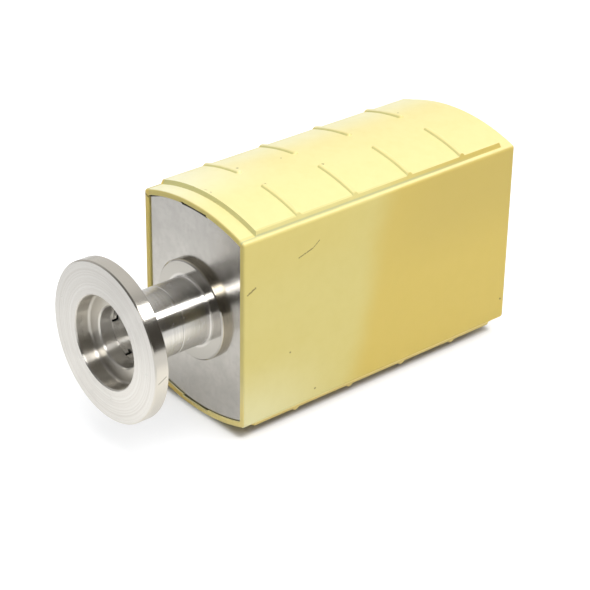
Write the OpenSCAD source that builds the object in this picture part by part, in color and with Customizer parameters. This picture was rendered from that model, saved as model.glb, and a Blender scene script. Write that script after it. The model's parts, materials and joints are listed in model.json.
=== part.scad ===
// Pirani vacuum gauge: a small-flange vacuum port on a stainless front plate, an arched
// moulded sleeve over the electronics, and a pin socket in the rear cover.
// The origin is the centre of the port's sealing face. +Y runs back through the gauge, +Z is up.

/* [Sleeve] */
// Width across the flat sides
sleeve_w = 28.3; // [27.4:0.1:32]
// Height of the flat sides
sleeve_side_h = 36.6; // [35.6:0.1:42]
// Rise of the top and bottom arches above the flat sides
arch_rise = 2.6; // [2.2:0.1:3.2]
// Length of the sleeve
sleeve_l = 65.4; // [63:0.1:85]
// Thickness of the wall between the two end pockets
sleeve_wall = 2; // [1.7:0.05:2.2]
// Thickness of the thin lip round each open end
lip_t = 1.15; // [0.9:0.05:1.3]
// Radius of the rounded long edges
long_edge_r = 0.8; // [0.5:0.1:1]
// Rounding of the front rim
front_edge_r = 0.35; // [0.2:0.05:0.5]
// Rounding of the rear rim
rear_edge_r = 0.7; // [0.3:0.05:0.8]
// Width of the keyway along the inside of each arch
keyway_w = 7.35; // [7.2:0.05:8.5]
// Depth of the keyway's corners beyond the lip
keyway_depth = 0.35; // [0.3:0.05:0.45]

/* [Raised panels and ribs] */
// Height of the raised panel on each arch
panel_h = 0.8; // [0.5:0.05:1.1]
// Distance from the panel to each end of the sleeve
panel_end_margin = 3.1; // [2.5:0.1:5]
// Distance from the foot of the panel to each flat side
panel_side_margin = 0.75; // [0.6:0.05:1.2]
// How far the panel's sides lean in over its height
panel_side_lean = 0.5; // [0.3:0.05:0.7]
// How far the panel's front and rear walls lean in over its height
panel_end_lean = 0.3; // [0.1:0.05:0.6]
// Number of rib stations along the panel
rib_stations = 4; // [3:1:6]
// Width of a rib at its foot
rib_w = 1.25; // [1:0.05:1.6]
// Height of a rib above its panel
rib_h = 0.45; // [0.3:0.05:0.55]
// Distance from the middle of the panel to a rib's inner end
rib_start = 3.6; // [2.8:0.1:6]

/* [Vacuum port] */
// Outer diameter of the small flange
flange_d = 30; // [28:0.1:34]
// Thickness of the flange at its rim
rim_t = 2.8; // [2.4:0.1:3.4]
// Angle of the clamping cone on the back of the flange
cone_angle = 15; // [12:0.5:18]
// Chamfer on the front edge of the rim
rim_front_chamfer = 0.25; // [0.1:0.05:0.4]
// Chamfer on the back edge of the rim
rim_back_chamfer = 0.15; // [0.1:0.05:0.3]
// Diameter of the centring recess
recess_d = 17.2; // [16.6:0.1:18]
// Depth of the centring recess
recess_depth = 3; // [2.6:0.1:3.6]
// Fillet round the floor of the recess
recess_fillet = 0.6; // [0.3:0.1:1.3]
// Chamfer at the mouth of the recess
recess_chamfer = 0.25; // [0.1:0.05:0.4]
// Outer diameter of the tube
tube_d = 12.7; // [12.2:0.1:13.6]
// Bore of the tube
bore_d = 11.3; // [10.6:0.1:11.6]
// Fillet between the clamping cone and the tube
neck_fillet = 0.8; // [0.4:0.1:1.2]
// Distance from the sealing face to the weld seam round the tube
seam_y = 12.6; // [9:0.1:15]
// Width of the weld seam's groove
seam_w = 0.24; // [0.1:0.02:0.4]
// Depth of the weld seam's groove
seam_depth = 0.06; // [0.02:0.01:0.12]
// Distance from the sealing face to the front plate
port_l = 20; // [18.5:0.1:30]
// Diameter of the collar that seats on the front plate
collar_d = 19; // [18.4:0.1:20.4]
// Thickness of the collar
collar_t = 1.4; // [0.9:0.1:2]
// Fillet between the tube and the collar
collar_fillet = 0.3; // [0.2:0.05:0.8]
// Bevel round the collar's edge
collar_bevel = 0.3; // [0.1:0.05:0.5]
// Diameter of the threaded shank behind the collar
shank_d = 16; // [15.6:0.1:16.6]
// Length of bare shank behind the nut
shank_tail = 1.2; // [0.8:0.1:3]

/* [Port baffle] */
// Distance from the sealing face to the front edge of the baffle's fingers
baffle_y = 5.8; // [4.6:0.1:7]
// Length of the baffle
baffle_l = 3.6; // [3:0.1:5]
// Sheet thickness of the baffle
baffle_t = 0.25; // [0.2:0.05:0.4]
// Number of fingers round the baffle
baffle_fingers = 5; // [3:1:8]
// Width of the slits between the fingers
baffle_slit_w = 0.5; // [0.3:0.05:0.8]
// Depth of the slits from the fingers' front edge
baffle_slit_l = 1.3; // [0.8:0.1:2]
// Turn of the slits' hooked ends round the axis
baffle_hook_angle = 12; // [6:1:24]
// Number of gas holes in the baffle's floor
baffle_holes = 6; // [3:1:8]
// Radius of the gas holes in the baffle's floor
baffle_hole_r = 0.8; // [0.5:0.05:1]
// Radius of the circle of gas holes
baffle_hole_ring_r = 3.3; // [2.8:0.1:3.8]

/* [Feedthrough and filament] */
// Thickness of the feedthrough's metal header
header_t = 1.8; // [1.2:0.1:2.4]
// Width of the shank's rim round the header
header_rim = 1.4; // [1:0.1:1.7]
// Radius of the circle of feedthrough pins
pin_ring_r = 3.2; // [2.8:0.1:3.6]
// Radius of a feedthrough pin
pin_r = 0.4; // [0.25:0.05:0.5]
// Radius of the glass seal round each pin
seal_r = 1; // [0.8:0.05:1.2]
// Radius of the posts' cross arms
post_arm_r = 0.28; // [0.15:0.01:0.3]
// Length of the coiled hot wire between the two posts
filament_l = 11; // [8:0.1:12]
// Distance from the header to the nearer post arm
filament_stand_off = 2; // [1.4:0.1:3]
// Radius of the hot wire's coil
coil_r = 0.6; // [0.4:0.05:0.9]
// Radius of the hot wire
wire_r = 0.09; // [0.06:0.01:0.12]
// Number of turns in the hot wire's coil
coil_turns = 9; // [5:1:12]

/* [Front plate and carrier] */
// Thickness of the front plate
plate_t = 1; // [0.8:0.1:1.5]
// How far the front plate lies inside the sleeve's rim
plate_recess = 0.35; // [0.2:0.05:0.8]
// Gap between an end plate's edge and the lip
plate_gap = 0.15; // [0.1:0.05:0.25]
// Sheet thickness of the carrier
carrier_t = 1; // [0.8:0.1:1.2]
// Width of the carrier's arms
carrier_w = 7; // [6:0.1:7.1]
// Inside bend radius of the carrier
bend_r = 0.5; // [0.3:0.1:1]
// Gap between a carrier arm and the floor of its keyway
arm_gap = 0.3; // [0.2:0.05:0.4]
// Height of the carrier's folded rear tabs
tab_h = 7; // [6:0.1:7.4]
// Diameter of the carrier's pad round the shank
pad_d = 21.2; // [20.4:0.1:22]
// Thickness of the tooth lock washer
washer_t = 0.8; // [0.6:0.1:1.2]
// Outer diameter of the tooth lock washer
washer_d = 20.4; // [19.8:0.1:21]
// Number of teeth round the lock washer's hole
washer_teeth = 10; // [6:1:14]
// Width of the gaps between the lock washer's teeth
tooth_gap_w = 1.2; // [0.6:0.1:1.6]
// Depth of the gaps between the lock washer's teeth
tooth_gap_depth = 1; // [0.5:0.1:1.2]
// Thickness of the shank's nut
nut_t = 4; // [3:0.1:5]
// Size of the shank's nut across its flats
nut_flats = 20; // [19.4:0.1:20.6]

/* [Circuit boards] */
// Thickness of every circuit board
board_t = 1.6; // [1:0.1:2]
// Diameter of the sensor board
sensor_board_d = 19; // [18:0.1:21]
// Distance from the header to the sensor board
sensor_board_gap = 3; // [2.4:0.1:4]
// Width of the connector board
connector_board_w = 20; // [16:0.1:22]
// Height of the connector board
connector_board_h = 21; // [18:0.1:23]
// Distance from the connector's body to the connector board
connector_board_gap = 0.8; // [0.3:0.1:1.5]
// Gap between the main board's edges and what they meet
board_gap = 0.15; // [0.1:0.05:0.25]
// Width of the main board's locating tabs
board_tab_w = 5; // [3:0.1:7]
// Distance from each end of the main board to its nearer tab
board_tab_inset = 8; // [6:0.1:10]
// How far a pin stands out of the board that it is soldered to
solder_l = 0.8; // [0.5:0.1:1.2]
// Thickness of the square link pins between the boards
link_t = 0.5; // [0.4:0.05:0.64]
// Length of a link pin along the main board
link_l = 3.5; // [2.5:0.1:5]
// Distance from one link pin to the next
link_pitch = 2.54; // [2:0.02:2.8]

/* [Components] */
// Length of the controller chip
controller_l = 10.3; // [8:0.1:12]
// Width of the controller chip's body
controller_w = 7.5; // [6:0.1:8.5]
// Length of an amplifier chip
amplifier_l = 4.9; // [4:0.1:6]
// Width of an amplifier chip's body
amplifier_w = 3.9; // [3:0.1:4.5]
// Height of the chips above the board
chip_h = 1.75; // [1.2:0.05:2.6]
// Gap under the chips' bodies
chip_stand = 0.1; // [0.05:0.05:0.3]
// Width of the chips' flat leads
lead_w = 0.42; // [0.3:0.02:0.5]
// How far the chips' flat leads reach out of their bodies
lead_reach = 1.1; // [0.6:0.1:1.4]
// Diameter of the smoothing capacitors
capacitor_d = 6.3; // [5:0.1:7]
// Height of the smoothing capacitors
capacitor_h = 7.5; // [5:0.1:9]
// Radius of the crimped groove round a capacitor
crimp_r = 0.3; // [0.1:0.05:0.4]
// Height of the crimped groove above the board
crimp_h = 1; // [0.6:0.1:1.6]
// Diameter of a bridge resistor's body
resistor_d = 2.3; // [1.6:0.1:2.8]
// Length of a bridge resistor's body
resistor_l = 6.2; // [4:0.1:7]
// Radius of a bridge resistor's wire leads
resistor_lead_r = 0.3; // [0.2:0.05:0.4]
// Length of bare lead at each end of a bridge resistor
resistor_lead_l = 1; // [0.8:0.1:1.6]
// Length of the voltage regulator's body
regulator_l = 6.5; // [5:0.1:7.5]
// Width of the voltage regulator's body
regulator_w = 3.5; // [3:0.1:4.5]
// Width of the voltage regulator's legs
regulator_leg_w = 0.75; // [0.5:0.05:1]
// Length of the temperature sensor's chip
thermistor_l = 3.2; // [2:0.1:4]
// Height of the trimmer above the board
trimmer_h = 9.6; // [7:0.1:10]
// Length of the trimmer
trimmer_l = 9.5; // [7:0.1:11]
// Thickness of the trimmer
trimmer_t = 4.8; // [4:0.1:5.4]
// Radius of the trimmer's screw
trimmer_screw_r = 1.1; // [0.8:0.05:1.3]
// Width of the slot across the trimmer's screw
trimmer_slot_w = 0.4; // [0.3:0.05:0.6]
// Depth of the slot across the trimmer's screw
trimmer_slot_depth = 0.6; // [0.3:0.05:0.8]

/* [Rear cover and socket] */
// Thickness of the rear cover
cover_t = 1.5; // [1.2:0.1:2]
// How far the rear cover lies inside the sleeve's rim
cover_recess = 0.5; // [0.2:0.05:0.8]
// Radius of the cover screws' shanks
screw_r = 1.25; // [1:0.05:1.5]
// Length of the cover screws' shanks
screw_l = 5; // [4:0.1:7]
// Radius of the cover screws' heads
screw_head_r = 2.25; // [2:0.05:2.5]
// Height of the cover screws' heads
screw_head_h = 1.6; // [1.2:0.1:2]
// Radius of the trimmer's access hole
access_r = 1.6; // [1.3:0.05:1.8]
// Diameter of the socket's threaded barrel
socket_d = 18; // [17:0.1:18.6]
// Diameter of the socket's flange
socket_flange_d = 20.6; // [20:0.1:22]
// Thickness of the socket's flange
socket_flange_t = 1.5; // [1:0.1:2]
// Chamfer round the socket's flange
socket_chamfer = 0.35; // [0.2:0.05:0.5]
// Diameter of the well that takes the cable's plug
well_d = 15.2; // [14.4:0.1:15.6]
// Depth of the well
well_depth = 8; // [6:0.1:9]
// Thickness of the insulator at the bottom of the well
insert_t = 3; // [2:0.1:4]
// Width of the key slot in the well's wall
key_w = 1.6; // [1:0.1:2]
// Depth of the key slot
key_depth = 0.7; // [0.4:0.05:0.9]
// Number of contact pins
contact_count = 6; // [4:2:8]
// Radius of the circle of contact pins
contact_ring_r = 5.2; // [4.8:0.1:5.5]
// Radius of a contact pin
contact_r = 0.75; // [0.5:0.05:0.8]
// How far the contact pins end below the socket's rim
contact_recess = 2; // [1:0.1:3]
// Thickness of the seal under the socket's flange
gasket_t = 0.5; // [0.3:0.1:0.8]
// Thickness of the socket's nut
socket_nut_t = 2.5; // [2:0.1:3]
// Size of the socket's nut across its flats
socket_nut_flats = 20.5; // [20:0.1:21]

/* [Fits] */
// Gap round pieces that pass through a hole
hole_gap = 0.1; // [0.05:0.05:0.2]
// Gap round pieces that are pressed, screwed, soldered or fused in place
seat_gap = 0.02; // [0.01:0.01:0.05]

/* [Hidden] */
$fn = 96;
// Overlap that keeps a cut clear of the face it starts from
eps = 0.5;

// Sleeve section
crown_z = sleeve_side_h / 2 + arch_rise;
arch_r = (pow(sleeve_w / 2, 2) + pow(arch_rise, 2)) / (2 * arch_rise);
arch_drop = arch_r - crown_z;
keyway_z = arch_z(keyway_w / 2, lip_t) + keyway_depth;
edge_x = sleeve_w / 2 - long_edge_r;
edge_z = sqrt(pow(arch_r - long_edge_r, 2) - pow(edge_x, 2)) - arch_drop;
panel_half_w = sleeve_w / 2 - panel_side_margin;
rib_r = (pow(rib_w / 2, 2) + pow(rib_h, 2)) / (2 * rib_h);
rib_path_r = arch_r + panel_h + rib_h - rib_r;
rib_dome_r = 0.95 * rib_r;
rib_pitch = sleeve_l / (rib_stations + 1);

// Stations along the axis, from the sealing face backwards
plate_y = port_l;
sleeve_y = plate_y - plate_recess;
carrier_y = plate_y + plate_t;
washer_y = carrier_y + carrier_t;
nut_y = washer_y + washer_t;
shank_y = nut_y + nut_t + shank_tail;
header_y = shank_y - header_t;
sensor_board_y = shank_y + sensor_board_gap;
main_board_y = sensor_board_y + board_t + board_gap;
sleeve_end_y = sleeve_y + sleeve_l;
cover_end_y = sleeve_end_y - cover_recess;
cover_y = cover_end_y - cover_t;
flange_y = cover_end_y + gasket_t;
socket_end_y = flange_y + socket_flange_t;
well_y = socket_end_y - well_depth;
socket_y = well_y - insert_t;
connector_board_y = socket_y - connector_board_gap - board_t;
main_board_end_y = connector_board_y - board_gap;
main_board_l = main_board_end_y - main_board_y;

// Vacuum port
flange_r = flange_d / 2;
recess_r = recess_d / 2;
tube_r = tube_d / 2;
bore_r = bore_d / 2;
shank_r = shank_d / 2;
collar_r = collar_d / 2;
header_r = shank_r - header_rim;
cone_end_y = rim_t + (flange_r - rim_back_chamfer - tube_r) * tan(cone_angle);
post_angle = 45;
filament_end_y = header_y - filament_stand_off;
filament_y = filament_end_y - filament_l;

// Carrier and boards
arm_z = keyway_z - arm_gap;
arm_inner_z = arm_z - carrier_t;
screw_z = arm_z - carrier_t - bend_r - screw_head_r - hole_gap;
board_half_h = arm_inner_z - board_gap;
tab_stations = [main_board_y + board_tab_inset, main_board_end_y - board_tab_inset];
trimmer_end_y = main_board_end_y - board_gap;
trimmer_z = connector_board_h / 2 + access_r;
trimmer_screw_x = board_t / 2 + trimmer_h - 2 * trimmer_screw_r;
socket_r = socket_d / 2;

// Height of an arch's inside at a distance from the middle, for a wall of the given thickness
function arch_z(x, wall) = sqrt(pow(arch_r - wall, 2) - x * x) - arch_drop;

function unit(v) = v / norm(v);

// Points of the arc of the given radius that rounds corner p between its neighbours a and b
function corner_arc(a, p, b, radius, steps = 6) =
    let (
        u = unit(a - p),
        v = unit(b - p),
        half = acos(u * v) / 2,
        centre = p + unit(u + v) * radius / sin(half),
        first = p + u * radius / tan(half) - centre,
        last = p + v * radius / tan(half) - centre,
        turn = acos(max(-1, min(1, first * last / (radius * radius))))
    )
    [for (i = [0 : steps])
        centre + (first * sin(turn * (1 - i / steps)) + last * sin(turn * i / steps)) / sin(turn)];

// Outline through [x, y, radius] corners, each rounded where its radius is above zero
function rounded(corners) =
    let (n = len(corners), xy = [for (c = corners) [c[0], c[1]]])
    [for (i = [0 : n - 1])
        each corners[i][2] > 0
            ? corner_arc(xy[(i + n - 1) % n], xy[i], xy[(i + 1) % n], corners[i][2])
            : [xy[i]]];

// Stands a shape that was drawn along Z along Y, starting at the given station
module along_y(y = 0) {
    translate([0, y, 0]) rotate([-90, 0, 0]) children();
}

// Turns a profile of [radius, y] points about the Y axis
module turned(points) {
    along_y() rotate_extrude() polygon(points);
}

// A disc or tube on the Y axis from one station to another
module disc_y(r, y0, y1, bore = 0) {
    along_y(y0) difference() {
        cylinder(r = r, h = y1 - y0);
        if (bore > 0) translate([0, 0, -eps]) cylinder(r = bore, h = y1 - y0 + 2 * eps);
    }
}

// Places a shape at a radius and an angle round the Y axis, where 0 is +X and 90 is +Z
module polar_y(radius, angle) {
    rotate([0, -angle, 0]) translate([radius, 0, 0]) children();
}

// Repeats a shape above and below, or left and right, of the middle
module both_z() {
    children();
    mirror([0, 0, 1]) children();
}

module both_x() {
    children();
    mirror([1, 0, 0]) children();
}

// The sleeve's cross-section drawn in by the given wall, with sharp long edges
module section(wall) {
    intersection() {
        square([sleeve_w - 2 * wall, 4 * crown_z], center = true);
        translate([0, -arch_drop]) circle(arch_r - wall);
        translate([0, arch_drop]) circle(arch_r - wall);
    }
}

// What rounding takes off one long edge of the outer section
module edge_waste() {
    reach = 3 * long_edge_r;
    out = unit([edge_x, edge_z + arch_drop]) * reach;
    difference() {
        translate([edge_x, edge_z])
            polygon([[0, 0], [reach, 0], [reach, reach], out]);
        translate([edge_x, edge_z]) circle(long_edge_r);
    }
}

module outer_section() {
    difference() {
        section(0);
        for (i = [0, 1], j = [0, 1])
            mirror([i, 0]) mirror([0, j]) edge_waste();
    }
}

// Region outside a rounded edge at the origin, with the solid at negative x and positive y
function edge_cut(radius) = concat(
    [for (i = [0 : 3]) radius * [cos(30 * i) - 1, 1 - sin(30 * i)]],
    [[-radius, -eps], [eps, -eps], [eps, radius]]);

// Rounds the outer rim of the sleeve at one end, drawn for an end that faces -Y at the origin
module rim_waste(radius) {
    both_z() translate([0, 0, -arch_drop])
        along_y() rotate_extrude() translate([arch_r, 0]) polygon(edge_cut(radius));
    both_x() translate([sleeve_w / 2, 0, -crown_z])
        linear_extrude(2 * crown_z) polygon(edge_cut(radius));
}

// One raised panel on the top arch, with leaning walls on all four sides
module panel() {
    foot_z = arch_z(panel_half_w, 0);
    lean = panel_side_lean / panel_h;
    top_z = crown_z + 2 * panel_h;
    top_half_w = panel_half_w - lean * (top_z - foot_z);
    y0 = sleeve_y + panel_end_margin;
    y1 = sleeve_end_y - panel_end_margin;
    side = [[panel_half_w, 0], [panel_half_w, foot_z], [top_half_w, top_z]];
    intersection() {
        along_y(y0) linear_extrude(y1 - y0)
            polygon([for (p = side) [p[0], -p[1]], for (i = [2 : -1 : 0]) [-side[i][0], -side[i][1]]]);
        translate([0, 0, -arch_drop]) turned([
            [0, y0],
            [arch_r, y0],
            [arch_r + panel_h, y0 + panel_end_lean],
            [arch_r + panel_h, y1 - panel_end_lean],
            [arch_r, y1],
            [0, y1]
        ]);
    }
}

// One half-round rib on the right half of the top panel, with a domed inner end
module rib(y) {
    start = asin(rib_start / rib_path_r);
    end = asin((panel_half_w - panel_side_lean) / rib_path_r);
    translate([0, 0, -arch_drop]) along_y(y) rotate([0, 0, start - 90]) {
        rotate_extrude(angle = end - start) translate([rib_path_r, 0]) circle(rib_r, $fn = 32);
        translate([rib_path_r, 0, 0]) sphere(rib_dome_r, $fn = 32);
    }
}

module ribs() {
    for (i = [1 : rib_stations])
        both_z() both_x() rib(sleeve_y + i * rib_pitch);
}

// The moulded sleeve: arched tube with raised panels, ribs, end pockets and inner keyways
module housing_sleeve() {
    color("khaki") difference() {
        union() {
            along_y(sleeve_y) linear_extrude(sleeve_l) outer_section();
            both_z() panel();
            ribs();
        }
        along_y(sleeve_y - eps) linear_extrude(sleeve_l + 2 * eps) section(sleeve_wall);
        along_y(sleeve_y - eps) linear_extrude(plate_recess + plate_t + eps) section(lip_t);
        along_y(cover_y) linear_extrude(cover_t + cover_recess + eps) section(lip_t);
        translate([-keyway_w / 2, sleeve_y - eps, -keyway_z])
            cube([keyway_w, sleeve_l + 2 * eps, 2 * keyway_z]);
        translate([0, sleeve_y, 0]) rim_waste(front_edge_r);
        translate([0, sleeve_end_y, 0]) mirror([0, 1, 0]) rim_waste(rear_edge_r);
    }
}

// The turned vacuum port: small flange, tube, collar and threaded shank in one piece
module sensor_body() {
    color("silver") turned(rounded([
        [recess_r + recess_chamfer, 0, 0],
        [flange_r - rim_front_chamfer, 0, 0],
        [flange_r, rim_front_chamfer, 0],
        [flange_r, rim_t - rim_back_chamfer, 0],
        [flange_r - rim_back_chamfer, rim_t, 0],
        [tube_r, cone_end_y, neck_fillet],
        [tube_r, seam_y - seam_w / 2, 0],
        [tube_r - seam_depth, seam_y, 0],
        [tube_r, seam_y + seam_w / 2, 0],
        [tube_r, port_l - collar_t, collar_fillet],
        [collar_r - collar_bevel, port_l - collar_t, 0],
        [collar_r, port_l - collar_t + collar_bevel, 0],
        [collar_r, port_l, 0],
        [shank_r, port_l, 0],
        [shank_r, shank_y, 0],
        [header_r, shank_y, 0],
        [header_r, header_y, 0],
        [bore_r, header_y, 0],
        [bore_r, recess_depth + recess_chamfer, 0],
        [bore_r + recess_chamfer, recess_depth, 0],
        [recess_r, recess_depth, recess_fillet],
        [recess_r, recess_chamfer, 0]
    ]));
}

// Hooked slit between two of the baffle's fingers
module baffle_slit() {
    half_hook = baffle_slit_w / (2 * bore_r) * 180 / PI;
    translate([bore_r - 2 * baffle_t, baffle_y - eps, -baffle_slit_w / 2])
        cube([4 * baffle_t, baffle_slit_l + eps, baffle_slit_w]);
    along_y(baffle_y + baffle_slit_l - baffle_slit_w) rotate([0, 0, -half_hook])
        rotate_extrude(angle = baffle_hook_angle)
            translate([bore_r - 2 * baffle_t, 0]) square([4 * baffle_t, baffle_slit_w]);
}

// Sheet cup in the bore with spring fingers and a perforated floor
module port_baffle() {
    skirt_r = bore_r - seat_gap;
    end_y = baffle_y + baffle_l;
    color("gainsboro") difference() {
        disc_y(skirt_r, baffle_y, end_y);
        disc_y(skirt_r - baffle_t, baffle_y - eps, end_y - baffle_t);
        for (i = [0 : baffle_fingers - 1])
            rotate([0, -180 - i * 360 / baffle_fingers, 0]) baffle_slit();
        for (i = [0 : baffle_holes - 1])
            polar_y(baffle_hole_ring_r, 360 / baffle_holes * i) disc_y(baffle_hole_r, baffle_y, end_y + eps);
    }
}

// Places a shape at each feedthrough pin
module at_pins() {
    for (i = [0 : 3]) polar_y(pin_ring_r, post_angle + 90 * i) children();
}

// Metal disc welded into the shank, drilled for the glass seals
module header_disc() {
    color("lightgray") difference() {
        disc_y(header_r - seat_gap, header_y, shank_y);
        at_pins() disc_y(seal_r + seat_gap, header_y - eps, shank_y + eps);
    }
}

// Glass beads that carry the pins through the header
module glass_seals() {
    color("cadetblue") at_pins() disc_y(seal_r, header_y, shank_y, pin_r + seat_gap);
}

// Feedthrough pins: two carry the hot wire on cross arms, two end just inside the header
module feedthrough_pins() {
    end_y = sensor_board_y + board_t + solder_l;
    fronts = [filament_y, header_y - filament_stand_off / 2,
              filament_end_y, header_y - filament_stand_off / 2];
    color("goldenrod") for (i = [0 : 3]) rotate([0, -post_angle - 90 * i, 0]) {
        translate([pin_ring_r, 0, 0])
            disc_y(pin_r, fronts[i] - (i % 2 == 0 ? 2 * post_arm_r : 0), end_y);
        if (i % 2 == 0) translate([0, fronts[i], 0]) rotate([0, 90, 0])
            cylinder(r = post_arm_r, h = pin_ring_r);
    }
}

// Coiled hot wire on the axis, swept as a thin round section along its helix
module filament() {
    sides = 6;
    rings = 12 * coil_turns;
    y0 = filament_y + post_arm_r + seat_gap;
    y1 = filament_end_y - post_arm_r - seat_gap;
    function swell(t) = coil_r * min(1, 10 * min(t, 1 - t));
    function radial(t) = [cos(360 * coil_turns * t), 0, sin(360 * coil_turns * t)];
    function path(t) = swell(t) * radial(t) + [0, y0 + (y1 - y0) * t, 0];
    function heading(t) = unit(path(min(1, t + 0.001)) - path(max(0, t - 0.001)));
    function section_point(t, angle) =
        let (h = (t == 0 || t == 1) ? [0, 1, 0] : heading(t),
             e = unit(radial(t) - h * (radial(t) * h)))
        path(t) + wire_r * (cos(angle) * e + sin(angle) * cross(h, e));
    points = [for (i = [0 : rings], k = [0 : sides - 1]) section_point(i / rings, 360 * k / sides)];
    function at(i, k) = i * sides + k % sides;
    walls = [for (i = [0 : rings - 1], k = [0 : sides - 1])
        each [[at(i, k), at(i + 1, k), at(i + 1, k + 1)], [at(i, k), at(i + 1, k + 1), at(i, k + 1)]]];
    caps = [[for (k = [0 : sides - 1]) at(0, k)], [for (k = [sides - 1 : -1 : 0]) at(rings, k)]];
    color("dimgray") polyhedron(points, concat(walls, caps));
}

// Flat stainless plate in the sleeve's front pocket
module front_plate() {
    color("darkgray") difference() {
        along_y(plate_y) linear_extrude(plate_t) section(lip_t + plate_gap);
        disc_y(shank_r + hole_gap, plate_y - eps, carrier_y + eps);
    }
}

// Folded strip behind the plate: a pad under the nut, two arms in the keyways, two rear tabs
module carrier() {
    tab_y = cover_y - carrier_t;
    outer = bend_r + carrier_t;
    upper = [
        [cover_y, arm_z - tab_h, 0],
        [tab_y, arm_z - tab_h, 0],
        [tab_y, arm_inner_z, bend_r],
        [washer_y, arm_inner_z, bend_r]
    ];
    lower = [for (i = [3 : -1 : 0]) [upper[i][0], -upper[i][1], upper[i][2]]];
    rear = [[cover_y, -arm_z, outer], [carrier_y, -arm_z, outer]];
    front = [[carrier_y, arm_z, outer], [cover_y, arm_z, outer]];
    color("lightsteelblue") difference() {
        union() {
            rotate([90, 0, 90]) translate([0, 0, -carrier_w / 2])
                linear_extrude(carrier_w) polygon(rounded(concat(upper, lower, rear, front)));
            disc_y(pad_d / 2, carrier_y, washer_y);
        }
        disc_y(shank_r + hole_gap, carrier_y - eps, washer_y + eps);
        both_z() {
            translate([0, 0, screw_z]) disc_y(screw_r + seat_gap, tab_y - eps, cover_y + eps);
            for (y = tab_stations)
                translate([-board_t / 2 - board_gap, y - board_tab_w / 2 - board_gap, arm_inner_z - eps])
                    cube([board_t + 2 * board_gap, board_tab_w + 2 * board_gap, carrier_t + 2 * eps]);
        }
    }
}

// Tooth lock washer between the carrier and the nut
module lock_washer() {
    color("slategray") difference() {
        disc_y(washer_d / 2, washer_y, nut_y, shank_r + hole_gap);
        for (i = [0 : washer_teeth - 1])
            polar_y(shank_r, 360 / washer_teeth * (i + 0.5))
                translate([-eps, washer_y - eps, -tooth_gap_w / 2])
                    cube([eps + tooth_gap_depth, washer_t + 2 * eps, tooth_gap_w]);
    }
}

// A hexagon nut on the Y axis with its flats to the left and right
module hex_nut(flats, y0, y1, thread_r) {
    along_y(y0) difference() {
        rotate([0, 0, 30]) cylinder(d = flats / cos(30), h = y1 - y0, $fn = 6);
        translate([0, 0, -eps]) cylinder(r = thread_r + seat_gap, h = y1 - y0 + 2 * eps);
    }
}

module sensor_nut() {
    color("silver") hex_nut(nut_flats, nut_y, nut_y + nut_t, shank_r);
}

// Heights of the link pins above and below the axis
function link_heights() = [for (s = [-1, 1], i = [2, 3]) s * i * link_pitch];

// Square link pins on the main board's right face, between two stations
module links(y0, y1, gap = 0) {
    for (z = link_heights())
        translate([board_t / 2 + seat_gap - gap, y0, z - link_t / 2 - gap])
            cube([link_t + 2 * gap, y1 - y0, link_t + 2 * gap]);
}

// Round board on the feedthrough pins
module sensor_board() {
    color("seagreen") difference() {
        disc_y(sensor_board_d / 2, sensor_board_y, sensor_board_y + board_t);
        at_pins() disc_y(pin_r + seat_gap, sensor_board_y - eps, sensor_board_y + board_t + eps);
        links(sensor_board_y - eps, sensor_board_y + board_t + eps, seat_gap);
    }
}

// Chip that senses the header's temperature, on the front of the sensor board
module temperature_sensor() {
    w = thermistor_l / 2;
    color("black") translate([-pin_ring_r - w, sensor_board_y - w / 2, -thermistor_l / 2])
        cube([w, w / 2, thermistor_l]);
}

module sensor_links() {
    color("gold") links(sensor_board_y - solder_l, main_board_y + link_l);
}

module connector_links() {
    color("gold") links(main_board_end_y - link_l, connector_board_y + board_t + connector_board_gap / 2);
}

// Upright main board between the carrier's arms, with tabs through their slots
module main_board() {
    color("darkgreen") {
        translate([-board_t / 2, main_board_y, -board_half_h])
            cube([board_t, main_board_l, 2 * board_half_h]);
        for (y = tab_stations)
            translate([-board_t / 2, y - board_tab_w / 2, -arm_z])
                cube([board_t, board_tab_w, 2 * arm_z]);
    }
}

// A flat-leaded chip on the main board's right face, centred on a point of the board
module chip(l, w, leads, y, z) {
    pitch = l / leads;
    translate([board_t / 2, y, z]) {
        translate([chip_stand, -l / 2, -w / 2]) cube([chip_h - chip_stand, l, w]);
        for (i = [0 : leads - 1])
            both_z() translate([0, (i + 0.5 - leads / 2) * pitch - lead_w / 2, w / 2 - lead_w])
                cube([chip_h / 2, lead_w, lead_reach + lead_w]);
    }
}

module controller_chip() {
    color("black") chip(controller_l, controller_w, 8, main_board_y + main_board_l / 2, 0);
}

module amplifier_chips() {
    y = main_board_y + link_l + amplifier_l;
    color("black") for (side = [-1, 1])
        chip(amplifier_l, amplifier_w, 4, y, side * (controller_w / 2 + amplifier_w));
}

// Axial resistors of the measuring bridge on the main board's left face
module bridge_resistors() {
    stand = resistor_d / 2 + hole_gap;
    span = resistor_l / 2 + resistor_lead_l;
    lead_d = 2 * resistor_lead_r;
    x = -board_t / 2 - stand;
    color("tan") for (i = [0 : 3])
        translate([x, main_board_y + main_board_l / 2 + (i - 1.5) * 2 * resistor_d, 0]) {
            translate([0, 0, -resistor_l / 2]) cylinder(d = resistor_d, h = resistor_l);
            translate([0, 0, -span]) cylinder(d = lead_d, h = 2 * span);
            both_z() translate([-resistor_lead_r, -resistor_lead_r, span - lead_d])
                cube([stand + resistor_lead_r, lead_d, lead_d]);
        }
}

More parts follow.
